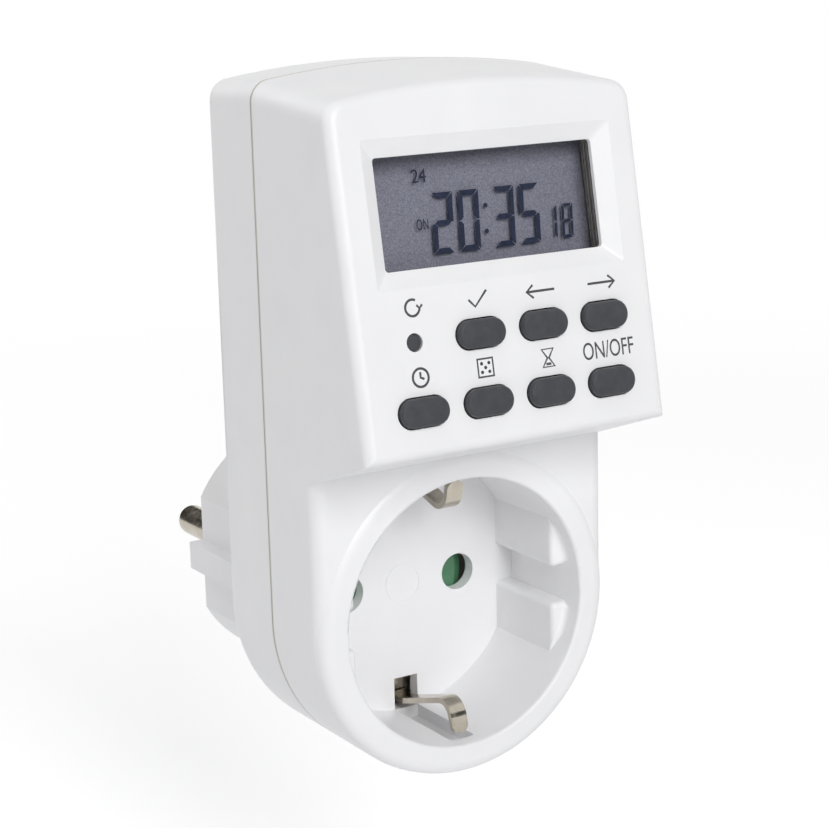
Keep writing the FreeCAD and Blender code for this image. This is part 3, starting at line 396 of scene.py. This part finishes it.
# The display holder's side walls have fine machined steps. Painted highlights draw them as lighter bands that
# repeat with depth into the face, standing in for light caught from the window
stepHighlights = {"pitch": 0.7, "shade": "D2CEC6", "from": 0.15, "to": 0.75}


# share of painted highlight at each place: a sine wave of the depth into the face
def stepHighlightShare(tree, where):
    depth = addNode(tree, "ShaderNodeVectorMath", {0: where, 1: intoFace}, operation="DOT_PRODUCT")
    turn = addNode(tree, "ShaderNodeMath",
                   {0: depth.outputs["Value"], 1: perMetre(stepHighlights["pitch"]) * 2 * math.pi},
                   operation="MULTIPLY")
    wave = addNode(tree, "ShaderNodeMath", {0: turn.outputs["Value"]}, operation="SINE")
    share = addNode(tree, "ShaderNodeMapRange",
                    {"Value": wave.outputs["Value"], "From Min": stepHighlights["from"], "From Max": stepHighlights["to"]})
    return share.outputs["Result"]


# the holder's acrylic gets the bands of painted highlight
paintOver("smokyAcrylic", stepHighlights["shade"], stepHighlightShare)


# Circuit board: lacquer over glass cloth or paper, with faint copper tracks under it
trackDrawing = {"gapWidth": 0.06, "stagger": 0.37, "relief": 0.02, "strength": 0.4}


def boardLacquer(name, look):
    material, tree, shader, where = startMaterial(name)
    tracks = addNode(tree, "ShaderNodeTexBrick",
                     {"Vector": where, "Scale": perMetre(look["trackPitch"]),
                      "Mortar Size": trackDrawing["gapWidth"]}, offset=trackDrawing["stagger"])
    tracks.inputs["Color1"].default_value = colour(look["lacquer"])
    tracks.inputs["Color2"].default_value = colour(look["overCopper"])
    tracks.inputs["Mortar"].default_value = colour(look["gap"])
    tree.links.new(tracks.outputs["Color"], shader.inputs["Base Color"])
    relief = bumpFrom(tree, tracks.outputs["Fac"], trackDrawing["relief"], trackDrawing["strength"])
    tree.links.new(relief, shader.inputs["Normal"])
    shader.inputs["Roughness"].default_value = look["roughness"]
    shader.inputs["IOR"].default_value = 1.5
    return material


boardLooks = {
    # lacquered glass cloth board: deep green, fairly glossy
    "greenBoard": {"lacquer": "1F5B30", "overCopper": "2C7040", "gap": "184A26", "trackPitch": 1.9,
                   "roughness": 0.3},
    # resin-bonded paper board: tan and duller
    "paperBoard": {"lacquer": "A57A45", "overCopper": "B5894F", "gap": "94693A", "trackPitch": 2.6,
                   "roughness": 0.45},
}
finishes.update({name: boardLacquer(name, look) for name, look in boardLooks.items()})


# Clear acrylic and the display's own glass: light goes straight through, and only a faint
# sheen shows, because both faces carry an anti-glare coat
def clearSheet(name, look):
    material, tree, shader, where = startMaterial(name)
    output = next(node for node in tree.nodes if node.type == "OUTPUT_MATERIAL")
    tree.nodes.remove(shader)
    scuffs = mottle(tree, where, look["scuffSize"], 0.0, 1.0, detail=4.0)
    relief = bumpFrom(tree, scuffs, look["scuffDepth"])
    sheen = addNode(tree, "ShaderNodeBsdfGlossy", {"Roughness": look["roughness"], "Normal": relief})
    clear = addNode(tree, "ShaderNodeBsdfTransparent", {"Color": colour(look["tint"])})
    edge = addNode(tree, "ShaderNodeFresnel", {"IOR": look["ior"]})
    share = addNode(tree, "ShaderNodeMath", {0: edge.outputs["Fac"], 1: look["sheen"]},
                    operation="MULTIPLY")
    mix = addNode(tree, "ShaderNodeMixShader", {0: share.outputs["Value"], 1: clear.outputs["BSDF"],
                                                2: sheen.outputs["BSDF"]})
    tree.links.new(mix.outputs["Shader"], output.inputs["Surface"])
    return material


sheetLooks = {
    # moulded acrylic window: almost unseen
    "clearAcrylic": {"tint": "FAFAFB", "ior": 1.49, "sheen": 0.3, "roughness": 0.06, "scuffSize": 1.2,
                     "scuffDepth": 0.0005},
    # the display's front glass: a trace of blue grey from its polariser
    "displayGlass": {"tint": "F2F3F6", "ior": 1.52, "sheen": 0.2, "roughness": 0.2, "scuffSize": 0.3,
                     "scuffDepth": 0.001},
}
finishes.update({name: clearSheet(name, look) for name, look in sheetLooks.items()})


# Reflector behind the liquid crystal: rolled foil under a grey polariser, with a fine sparkle,
# which is drawn coarser than the real one so that it shows
foilLook = {"light": "CFCDD2", "dark": "ABA9B0", "grainSize": 0.24, "grainDepth": 0.01,
            "darkUpTo": 0.4, "lightFrom": 0.6, "roughness": 0.5}


def reflectorFoil(look):
    material, tree, shader, where = startMaterial("reflectorFoil")
    speckle = addNode(tree, "ShaderNodeTexNoise",
                      {"Vector": where, "Scale": perMetre(look["grainSize"]), "Detail": 2.0,
                       "Roughness": 0.8})
    spread = addNode(tree, "ShaderNodeMapRange",
                     {"Value": speckle.outputs["Fac"], "From Min": look["darkUpTo"],
                      "From Max": look["lightFrom"]})
    shade = tint(tree, spread.outputs["Result"], look["dark"], look["light"])
    tree.links.new(shade, shader.inputs["Base Color"])
    tree.links.new(bumpFrom(tree, speckle.outputs["Fac"], look["grainDepth"]), shader.inputs["Normal"])
    shader.inputs["Roughness"].default_value = look["roughness"]
    shader.inputs["IOR"].default_value = 1.5
    return material


finishes["reflectorFoil"] = reflectorFoil(foilLook)

nodeFinishes = {
    "front_housing": "whiteAbs", "rear_housing": "whiteAbs", "display_window": "clearAcrylic",
    "lcd_frame": "blackAbs", "lcd_panel": "reflectorFoil", "lcd_contact_strip": "contactRubber",
    "reset_key": "keyRubber", "keypad_mat": "keyRubber", "control_board": "greenBoard",
    "control_chip": "chipEpoxy", "clock_crystal": "drawnCan", "backup_battery": "drawnCan",
    "power_board": "paperBoard", "relay": "relayCase", "mains_capacitor": "capacitorBox",
    "smoothing_capacitor": "canSleeve", "dropper_resistor": "resistorLacquer",
    "varistor": "varistorEpoxy", "rectifier_diodes": "diodeEpoxy",
    "board_cable": "cableVinyl", "socket_shutter": "shutterAcetal", "shutter_spring": "drawnWire",
    "contact_carrier": "polyamide", "neutral_contact": "stampedBrass", "live_contact": "stampedBrass",
    "bottom_earth_clip": "nickelPlate", "top_earth_clip": "nickelPlate", "earth_bridge": "nickelPlate",
    "bottom_plug_earth": "nickelPlate", "top_plug_earth": "nickelPlate", "neutral_pin": "nickelPlate",
    "live_pin": "nickelPlate", "neutral_strap": "stampedBrass", "live_strap": "stampedBrass",
    "switched_strap": "stampedBrass", "housing_screws": "zincPlate", "small_screws": "zincPlate",
}
for node, finish in nodeFinishes.items():
    setMaterial(nodes[node], finishes[finish])
print("materials ready")


# Keys: a silicone button with a crowned top, a flange inside the housing and a contact pill
keySize = {"width": 7.2, "height": 3.7, "proud": 1.1, "crown": 0.12, "shoulder": 0.36, "sides": 48,
           "flangeMargin": 0.6, "flangeFront": 2.4, "flangeBack": 3.4, "foot": 6.9, "pillEnd": 8.0,
           "pillRadius": 1.4, "shoulderSteps": 6, "crownShares": (0.7, 0.4, 0.1), "smoothAngle": 35}


# Rings from the back to the front, as (radius, distance in front of the face)
def keyRings():
    size = keySize
    radius = size["height"] / 2
    rings = [(size["pillRadius"], -size["pillEnd"]), (size["pillRadius"], -size["foot"]),
             (radius, -size["foot"]), (radius, -size["flangeBack"]),
             (radius + size["flangeMargin"], -size["flangeBack"]),
             (radius + size["flangeMargin"], -size["flangeFront"]), (radius, -size["flangeFront"]),
             (radius, 0.0)]
    turns = size["shoulderSteps"]
    middle = size["proud"] - size["crown"] - size["shoulder"]
    for i in range(turns + 1):
        angle = i / turns * math.pi / 2
        rings.append((radius - size["shoulder"] * (1 - math.cos(angle)),
                      middle + size["shoulder"] * math.sin(angle)))
    flat = radius - size["shoulder"]
    for share in size["crownShares"]:
        rings.append((flat * share, size["proud"] - size["crown"] * share ** 2))
    return rings


def makeKey():
    rings = keyRings()
    sides = keySize["sides"]
    bpy.ops.mesh.primitive_circle_add(vertices=sides, radius=rings[0][0] * mm, fill_type="NGON",
                                      location=(0, 0, rings[0][1] * mm),
                                      rotation=(0, 0, math.pi / sides))
    piece = bpy.context.object
    bpy.ops.object.transform_apply(location=True, rotation=True, scale=True)
    editMode()
    bpy.ops.mesh.flip_normals()
    for before, after in zip(rings, rings[1:]):
        rise = (after[1] - before[1]) * mm
        bpy.ops.mesh.extrude_region_move(TRANSFORM_OT_translate={"value": (0, 0, rise)})
        share = after[0] / before[0]
        bpy.ops.transform.resize(value=(share, share, 1), center_override=(0, 0, after[1] * mm))
    stretch = (keySize["width"] - keySize["height"]) / 2 * mm
    for side in (-1, 1):
        pickVerts(piece, lambda spot: spot.x * side > 0)
        bpy.ops.transform.translate(value=(side * stretch, 0, 0))
    bpy.ops.mesh.select_all(action="SELECT")
    bpy.ops.mesh.normals_make_consistent(inside=False)
    objectMode()
    bpy.ops.object.shade_smooth_by_angle(angle=math.radians(keySize["smoothAngle"]))
    return piece


def middleOnFace(node):
    low, high, bottom, top = faceExtent(node)[:4]
    return (low + high) / 2 / mm, ((bottom + top) / 2 - faceStart["up"]) / mm


deselectAll()
masterKey = makeKey()
for node in ("set_key", "left_key", "right_key", "clock_key", "random_key", "countdown_key",
             "manual_key"):
    key = copyPiece(masterKey, node + "_button")
    settle(key, faceMatrix(*middleOnFace(node), 0))
    fit(key, "keyRubber", body=node, instead=(node,))
bpy.data.objects.remove(masterKey)
print("keys ready")


# Printed marks. Each is a few strokes in shares of its own height, from -0.5 to 0.5 upward.
def turnAbout(radius, start, end, count, middle=(0, 0)):
    angles = [math.radians(start + (end - start) * i / count) for i in range(count + 1)]
    return [(middle[0] + radius * math.cos(angle), middle[1] + radius * math.sin(angle))
            for angle in angles]


def dot(x, y, radius=0.035):
    return turnAbout(radius, 0, 315, 7, (x, y)), True


markSize = {"height": 2.35, "stroke": 0.33, "ink": 0.03, "aboveKey": 4.4, "rightOfKey": 0.26,
            "words": "ON/OFF", "wordHeight": 2.3, "wordWidth": 8.4}

arrow = [([(0.95, 0), (-0.95, 0)], False), ([(-0.5, 0.36), (-0.95, 0), (-0.5, -0.36)], False)]
marks = {
    "reset_key": [(turnAbout(0.45, 60, 360, 24), False),
                  ([(0.27, 0.12), (0.45, -0.06), (0.63, 0.12)], False)],
    "set_key": [([(-0.6, 0.02), (-0.2, -0.4), (0.62, 0.45)], False)],
    "left_key": arrow,
    "right_key": [([(-x, y) for x, y in points], closed) for points, closed in arrow],
    "clock_key": [(turnAbout(0.5, 0, 348.75, 31), True), ([(0, 0.3), (0, 0), (0.22, -0.1)], False)],
    "random_key": [([(-0.5, -0.5), (0.5, -0.5), (0.5, 0.5), (-0.5, 0.5)], True), dot(0, 0)]
    + [dot(x, y) for x in (-0.24, 0.24) for y in (-0.24, 0.24)],
    "countdown_key": [([(-0.4, 0.5), (0.4, 0.5), (0.05, 0), (0.4, -0.5), (-0.4, -0.5), (-0.05, 0)],
                       True),
                      ([(-0.17, -0.34), (0.17, -0.34)], False)],
}


def strokePiece(strokes, height, stroke, thickness):
    curve = bpy.data.curves.new("mark", "CURVE")
    curve.dimensions = "3D"
    curve.bevel_depth = stroke / 2 * mm
    curve.bevel_resolution = 1
    curve.use_fill_caps = True
    for points, closed in strokes:
        spline = curve.splines.new("POLY")
        spline.points.add(len(points) - 1)
        for point, (x, y) in zip(spline.points, points):
            point.co = (x * height * mm, y * height * mm, 0, 1)
        spline.use_cyclic_u = closed
    piece = bpy.data.objects.new("mark", curve)
    bpy.context.scene.collection.objects.link(piece)
    chooseOnly(piece)
    bpy.ops.object.convert(target="MESH")
    bpy.ops.transform.resize(value=(1, 1, 2 * thickness / stroke))
    bpy.ops.object.transform_apply(location=True, rotation=True, scale=True)
    return bpy.context.object


def wordPiece(words, height, width, thickness):
    deselectAll()
    bpy.ops.object.text_add()
    piece = bpy.context.object
    piece.data.body = words
    piece.data.align_x = "CENTER"
    piece.data.align_y = "CENTER"
    piece.data.extrude = 0.5  # any depth, because the mesh is scaled to its thickness below
    bpy.ops.object.convert(target="MESH")
    across, tall, deep = piece.dimensions
    middle = sum((Vector(corner) for corner in piece.bound_box), Vector()) / 8
    scale = (width * mm / across, height * mm / tall, 2 * thickness * mm / deep, 1)
    piece.data.transform(Matrix.Diagonal(scale) @ Matrix.Translation(-middle))
    return piece


def placeAboveKey(mark, node):
    x, up = middleOnFace(node)
    settle(mark, faceMatrix(x + markSize["rightOfKey"], up + markSize["aboveKey"], 0))


def makeLegends():
    size = markSize
    legends = []
    for node, strokes in marks.items():
        mark = strokePiece(strokes, size["height"], size["stroke"], size["ink"])
        placeAboveKey(mark, node)
        legends.append(mark)
    words = wordPiece(size["words"], size["wordHeight"], size["wordWidth"], size["ink"])
    placeAboveKey(words, "manual_key")
    legends.append(words)
    return join(legends, "key_legends")


fit(makeLegends(), "legendInk")
print("legends ready")


# Display: a foil at the back, dark segments in front of it, and clear sheets over them
display = {
    "bezelAcross": 19.3, "bezelUps": (20.75, 40.15), "bezelDepths": (3.0, 9.0),
    "viewAcross": 18.1, "viewUps": (23.6, 38.6),
    "pocketAcross": 18.8, "pocketUps": (21.7, 39.15), "pocketDepth": 5.0,
    "foilAcross": 18.75, "foilUps": (21.85, 39.05), "foilDepths": (5.78, 6.1),
    "glassDepths": (5.0, 5.05), "segmentDepths": (5.06, 5.09),
    "ribDepths": ((3.35, 3.5), (4.1, 4.2), (4.7, 4.95)), "ribReach": 0.12, "ribRoot": 0.1,
    "bezelEdge": 0.12, "ribEdge": 0.03, "foilEdge": 0.05, "glassEdge": 0.015,
    "cutPast": 1.0,  # how far the cutting blocks stand past what they cut
}


def makeBezel():
    size = display
    bezel = faceBlock("lcd_bezel", (-size["bezelAcross"], size["bezelAcross"]), size["bezelUps"],
                      size["bezelDepths"])
    view = faceBlock("view", (-size["viewAcross"], size["viewAcross"]), size["viewUps"],
                     (size["bezelDepths"][0] - size["cutPast"], size["pocketDepth"] + size["cutPast"]))
    pocket = faceBlock("pocket", (-size["pocketAcross"], size["pocketAcross"]), size["pocketUps"],
                       (size["pocketDepth"], size["bezelDepths"][1] + size["cutPast"]))
    carve(bezel, view)
    carve(bezel, pocket)
    soften(bezel, size["bezelEdge"])
    pieces = [bezel]
    root = size["ribRoot"]
    ribUps = (size["viewUps"][0] - root, size["viewUps"][1] + root)
    for depths in size["ribDepths"]:  # fine steps down both side walls
        for side in (-1, 1):
            across = sorted((side * (size["viewAcross"] - size["ribReach"]),
                             side * (size["viewAcross"] + root)))
            rib = faceBlock("rib", across, ribUps, depths)
            soften(rib, size["ribEdge"])
            pieces.append(rib)
    bezel = join(pieces, "lcd_bezel")
    settle(bezel, faceMatrix(0, 0, 0))
    return bezel


def makeSheet(name, depths, edge):
    across = (-display["foilAcross"], display["foilAcross"])
    sheet = faceBlock(name, across, display["foilUps"], depths)
    soften(sheet, edge)
    settle(sheet, faceMatrix(0, 0, 0))
    return sheet


fit(makeBezel(), "smokyAcrylic", instead=("lcd_frame",))
foil = makeSheet("lcd_reflector", display["foilDepths"], display["foilEdge"])
fit(foil, "reflectorFoil", instead=("lcd_panel",))
glass = makeSheet("lcd_glass", display["glassDepths"], display["glassEdge"])
fit(glass, "displayGlass", instead=("lcd_panel",))


# A level bar of a digit, its outer edge along the bottom, mitred at both ends
def levelBar(length, stroke):
    deselectAll()
    bpy.ops.mesh.primitive_plane_add(size=mm)
    piece = bpy.context.object
    editMode()
    bpy.ops.transform.resize(value=(length, stroke, 1))
    bpy.ops.transform.translate(value=(0, stroke / 2 * mm, 0))
    for side in (-1, 1):
        pickVerts(piece, lambda spot: spot.x * side > 0 and spot.y > stroke / 2 * mm)
        bpy.ops.transform.translate(value=(-side * stroke * mm, 0, 0))
    objectMode()
    return piece


# An upright bar, drawn level: mitred at its far end, with one corner cut off beside the middle bar
def uprightBar(length, stroke):
    piece = levelBar(length, stroke)
    pickVerts(piece, lambda spot: spot.x < 0 and spot.y > stroke / 2 * mm)
    bpy.ops.transform.translate(value=(-stroke * mm, 0, 0))
    bpy.ops.mesh.bevel(offset=stroke / 2 * mm, affect="VERTICES")
    objectMode()
    return piece


# The bar across the middle, pointed at both ends
def middleBar(length, stroke):
    deselectAll()
    bpy.ops.mesh.primitive_plane_add(size=mm)
    piece = bpy.context.object
    editMode()
    bpy.ops.transform.resize(value=(length - stroke, stroke, 1))
    bpy.ops.mesh.select_mode(type="EDGE")
    objectMode()
    for edge in piece.data.edges:
        ends = [piece.data.vertices[i].co for i in edge.vertices]
        edge.select = abs(ends[0].x - ends[1].x) < stroke / 10 * mm
    editMode()
    bpy.ops.mesh.subdivide(number_cuts=1)
    for side in (-1, 1):
        pickVerts(piece, lambda spot: spot.x * side > 0 and abs(spot.y) < stroke / 10 * mm)
        bpy.ops.transform.translate(value=(side * stroke / 2 * mm, 0, 0))
    objectMode()
    return piece


# The dark bars of each digit: a top, b upper right, c lower right, d bottom, e lower left,
# f upper left, g middle
litBars = {"0": "abcdef", "1": "bc", "2": "abged", "3": "abgcd", "5": "afgcd", "8": "abcdefg"}

# What the display shows. Each digit has the left edge of its top, each dot its middle, and each
# word its height, middle and width.
figures = {
    "slant": 4.0, "gap": 0.1,
    "big": {"digits": (("2", -6.65), ("0", -2.55), ("3", 3.07), ("5", 7.15)),
            "width": 3.25, "height": 8.0, "stroke": 0.76, "up": 25.4},
    "small": {"digits": (("1", 11.19), ("8", 13.82)),
              "width": 1.8, "height": 4.6, "stroke": 0.4, "up": 25.6},
    "dots": ((1.34, 27.7), (1.6, 31.1)), "dotRadius": 0.32, "dotSides": 20,
    "words": (("24", 1.75, -8.2, 35.8, 2.2), ("ON", 1.4, -8.5, 29.5, 1.8)),
}


def digitBars(width, height, stroke):
    gap = figures["gap"]
    slip = 0.7 * gap  # the same gap beside a slanted end, measured along the bar
    start, end = height / 2 + slip, height - gap
    masters = {"level": levelBar(width - 2 * gap, stroke), "upright": uprightBar(end - start, stroke),
               "middle": middleBar(width - stroke - 2 * slip, stroke)}
    flip = Matrix.Diagonal((1, -1, 1, 1))
    swap = Matrix.Diagonal((-1, 1, 1, 1))
    quarter = Matrix.Rotation(math.pi / 2, 4, "Z")
    right = Matrix.Translation((width * mm, (start + end) / 2 * mm, 0)) @ quarter
    centre = Matrix.Translation((width / 2 * mm, height / 2 * mm, 0))
    places = {
        "d": ("level", Matrix.Translation((width / 2 * mm, 0, 0))),
        "a": ("level", Matrix.Translation((width / 2 * mm, height * mm, 0)) @ flip),
        "b": ("upright", right),
        "c": ("upright", centre @ flip @ centre.inverted() @ right),
        "f": ("upright", centre @ swap @ centre.inverted() @ right),
        "e": ("upright", centre @ flip @ swap @ centre.inverted() @ right),
        "g": ("middle", centre),
    }
    return masters, places


def makeDigits(digits, width, height, stroke, up):
    masters, places = digitBars(width, height, stroke)
    lean = math.tan(math.radians(figures["slant"]))
    slant = Matrix(((1, lean, 0, 0), (0, 1, 0, 0), (0, 0, 1, 0), (0, 0, 0, 1)))
    bars = []
    for digit, topLeft in digits:
        start = Matrix.Translation(((topLeft - height * lean) * mm, up * mm, 0))
        for letter in litBars[digit]:
            master, matrix = places[letter]
            bar = copyPiece(masters[master], "bar")
            bar.data.transform(start @ slant @ matrix)
            bars.append(bar)
    for master in masters.values():
        bpy.data.objects.remove(master)
    return bars


def makeSegments():
    front, back = display["segmentDepths"]
    thick = back - front
    bars = makeDigits(**figures["big"]) + makeDigits(**figures["small"])
    for x, up in figures["dots"]:
        deselectAll()
        bpy.ops.mesh.primitive_circle_add(vertices=figures["dotSides"], radius=figures["dotRadius"] * mm,
                                          fill_type="NGON", location=(x * mm, up * mm, 0))
        bpy.ops.object.transform_apply(location=True)
        bars.append(bpy.context.object)
    panel = join(bars, "lcd_segments")
    chooseOnly(panel)
    editMode()
    bpy.ops.mesh.select_all(action="SELECT")
    bpy.ops.mesh.normals_make_consistent(inside=False)
    bpy.ops.mesh.extrude_region_move(TRANSFORM_OT_translate={"value": (0, 0, -thick * mm)})
    bpy.ops.mesh.select_all(action="SELECT")
    bpy.ops.mesh.normals_make_consistent(inside=False)
    objectMode()
    notes = []
    for words, height, x, up, width in figures["words"]:
        note = wordPiece(words, height, width, thick / 2)
        settle(note, Matrix.Translation((x * mm, up * mm, -thick / 2 * mm)))
        notes.append(note)
    join([panel] + notes, "lcd_segments")
    settle(panel, faceMatrix(0, 0, front))
    return panel


fit(makeSegments(), "segmentDark", instead=("lcd_panel",))
print("display ready")


# Nickel plates behind the two earth slots, above and below each clip
earthSeat = {"halfWidth": 1.95, "front": -29.4, "back": -28.8, "levels": ((13.2, 17.4), (18.4, 19.6)),
             "edge": 0.08}


def makeEarthSeats():
    plates = []
    for side in (-1, 1):
        for low, high in earthSeat["levels"]:
            lower, upper = sorted((side * low, side * high))
            plate = block("plate", (-earthSeat["halfWidth"], earthSeat["front"], lower),
                          (earthSeat["halfWidth"], earthSeat["back"], upper))
            soften(plate, earthSeat["edge"])
            plates.append(plate)
    return join(plates, "earth_seats")


fit(makeEarthSeats(), "nickelPlate")
print("earth seats ready")


# Camera at the photograph's viewing angle
cameraPlace = {"location": (-152.01, -280.93, 92.49), "right": (0.84551, -0.53334, -0.02552),
               "up": (0.14102, 0.17695, 0.97406), "forward": (0.51499, 0.82718, -0.22483),
               "focalPixels": 2083.14, "imagePixels": 828, "sensor": 36.0,
               "nearest": 0.01, "furthest": 10.0}


def makeCamera():
    data = bpy.data.cameras.new("camera")
    data.sensor_width = cameraPlace["sensor"]
    data.lens = cameraPlace["focalPixels"] / cameraPlace["imagePixels"] * cameraPlace["sensor"]
    data.clip_start = cameraPlace["nearest"]
    data.clip_end = cameraPlace["furthest"]
    camera = bpy.data.objects.new("camera", data)
    bpy.context.scene.collection.objects.link(camera)
    axes = (cameraPlace["right"], cameraPlace["up"], [-part for part in cameraPlace["forward"]])
    turn = Matrix([Vector(axis).normalized() for axis in axes]).transposed().to_4x4()
    camera.matrix_world = Matrix.Translation(Vector(cameraPlace["location"]) * mm) @ turn
    bpy.context.scene.camera = camera


makeCamera()


# Soft studio light
def addLamp(name, location, target, size, watts):
    data = bpy.data.lights.new(name, "AREA")
    data.shape = "RECTANGLE"
    data.size, data.size_y = size
    data.energy = watts
    lamp = bpy.data.objects.new(name, data)
    bpy.context.scene.collection.objects.link(lamp)
    lamp.location = location
    lamp.rotation_euler = (Vector(target) - Vector(location)).to_track_quat("-Z", "Y").to_euler()


lamps = {
    "high": {"location": (-0.12, -0.9, 0.5), "size": (0.45, 0.45), "watts": 5.2},
    "top": {"location": (0.0, -0.1, 0.9), "size": (0.8, 0.8), "watts": 0.85},
    "left": {"location": (-0.95, -0.1, 0.2), "size": (0.7, 0.7), "watts": 0.6},
    "back": {"location": (-0.5, 0.6, 0.7), "size": (0.7, 0.7), "watts": 2.7},
}
lampTarget = (0, -0.03, 0.02)
for name, lamp in lamps.items():
    addLamp(name, lamp["location"], lampTarget, lamp["size"], lamp["watts"])


# White to the camera and to glossy and clear surfaces, a softer white as light
def seenDirectly(tree):
    path = addNode(tree, "ShaderNodeLightPath")
    first = addNode(tree, "ShaderNodeMath",
                    {0: path.outputs["Is Camera Ray"], 1: path.outputs["Is Glossy Ray"]},
                    operation="MAXIMUM")
    both = addNode(tree, "ShaderNodeMath",
                   {0: first.outputs["Value"], 1: path.outputs["Is Transmission Ray"]},
                   operation="MAXIMUM")
    return both.outputs["Value"]


studio = {"skyLight": 0.255, "floorBelow": 0.04, "floorSize": 3.0, "floorColour": "F4F4F5",
          "floorGlow": 0.42, "fadeFrom": 0.15, "fadeTo": 0.6}


def makeWorld():
    world = bpy.data.worlds.new("studio")
    bpy.context.scene.world = world
    world.use_nodes = True
    tree = world.node_tree
    background = next(node for node in tree.nodes if node.type == "BACKGROUND")
    background.inputs["Color"].default_value = (1, 1, 1, 1)
    strength = addNode(tree, "ShaderNodeMapRange",
                       {"Value": seenDirectly(tree), "To Min": studio["skyLight"], "To Max": 1.0})
    tree.links.new(strength.outputs["Result"], background.inputs["Strength"])


# White paper that fades into the white background, so no horizon shows
def makeFloor():
    deselectAll()
    level = cadLow.z - studio["floorBelow"]
    bpy.ops.mesh.primitive_plane_add(size=studio["floorSize"], location=(0, 0, level))
    floor = bpy.context.object
    floor.name = "floor"
    bpy.ops.object.transform_apply(location=True)
    material, tree, shader, where = startMaterial("paperFloor")
    output = next(node for node in tree.nodes if node.type == "OUTPUT_MATERIAL")
    shader.inputs["Base Color"].default_value = colour(studio["floorColour"])
    shader.inputs["Roughness"].default_value = 0.9
    seen = seenDirectly(tree)
    glow = addNode(tree, "ShaderNodeMath", {0: seen, 1: studio["floorGlow"]}, operation="MULTIPLY")
    light = addNode(tree, "ShaderNodeEmission", {"Strength": glow.outputs["Value"]})
    near = addNode(tree, "ShaderNodeAddShader",
                   {0: shader.outputs["BSDF"], 1: light.outputs["Emission"]})
    reach = addNode(tree, "ShaderNodeVectorMath", {0: where}, operation="LENGTH")
    fade = addNode(tree, "ShaderNodeMapRange",
                   {"Value": reach.outputs["Value"], "From Min": studio["fadeFrom"],
                    "From Max": studio["fadeTo"]}, interpolation_type="SMOOTHSTEP")
    share = addNode(tree, "ShaderNodeMath", {0: seen, 1: fade.outputs["Result"]}, operation="MULTIPLY")
    white = addNode(tree, "ShaderNodeEmission", {"Strength": 1.0})
    mix = addNode(tree, "ShaderNodeMixShader", {0: share.outputs["Value"], 1: near.outputs["Shader"],
                                                2: white.outputs["Emission"]})
    tree.links.new(mix.outputs["Shader"], output.inputs["Surface"])
    setMaterial(floor, material)


# Dark cards that only reflections see: they give the bare metal its dark bands. The one behind
# is small and close, so the pins reflect it and the white shell hardly does.
flags = {
    "flagBehind": {"location": (-0.015, 0.06, 0.015), "size": (0.056, 0.036)},
    "flagFront": {"location": (0.45, -0.8, 0.22), "size": (0.5, 0.3)},
}
feltLook = {"dark": "2B2A28", "light": "353330", "mottleSize": 4.0}  # pressed wool felt: no shine


def makeFlags():
    material, tree, shader, where = startMaterial("blackFelt")
    felt = tint(tree, mottle(tree, where, feltLook["mottleSize"], 0, 1), feltLook["dark"],
                feltLook["light"])
    tree.links.new(felt, shader.inputs["Base Color"])
    shader.inputs["Roughness"].default_value = 1.0
    for name, card in flags.items():
        deselectAll()
        facing = (-Vector(card["location"])).to_track_quat("Z", "Y").to_euler()
        bpy.ops.mesh.primitive_plane_add(size=1, location=card["location"], rotation=facing)
        flag = bpy.context.object
        flag.name = name
        flag.scale = (*card["size"], 1)
        bpy.ops.object.transform_apply(location=True, rotation=True, scale=True)
        for seenBy in ("camera", "diffuse", "transmission", "shadow", "volume_scatter"):
            setattr(flag, "visible_" + seenBy, False)
        setMaterial(flag, material)


makeFlags()
makeWorld()
makeFloor()
bpy.context.scene.view_settings.view_transform = "Standard"
print("studio ready")

bpy.context.view_layer.update()
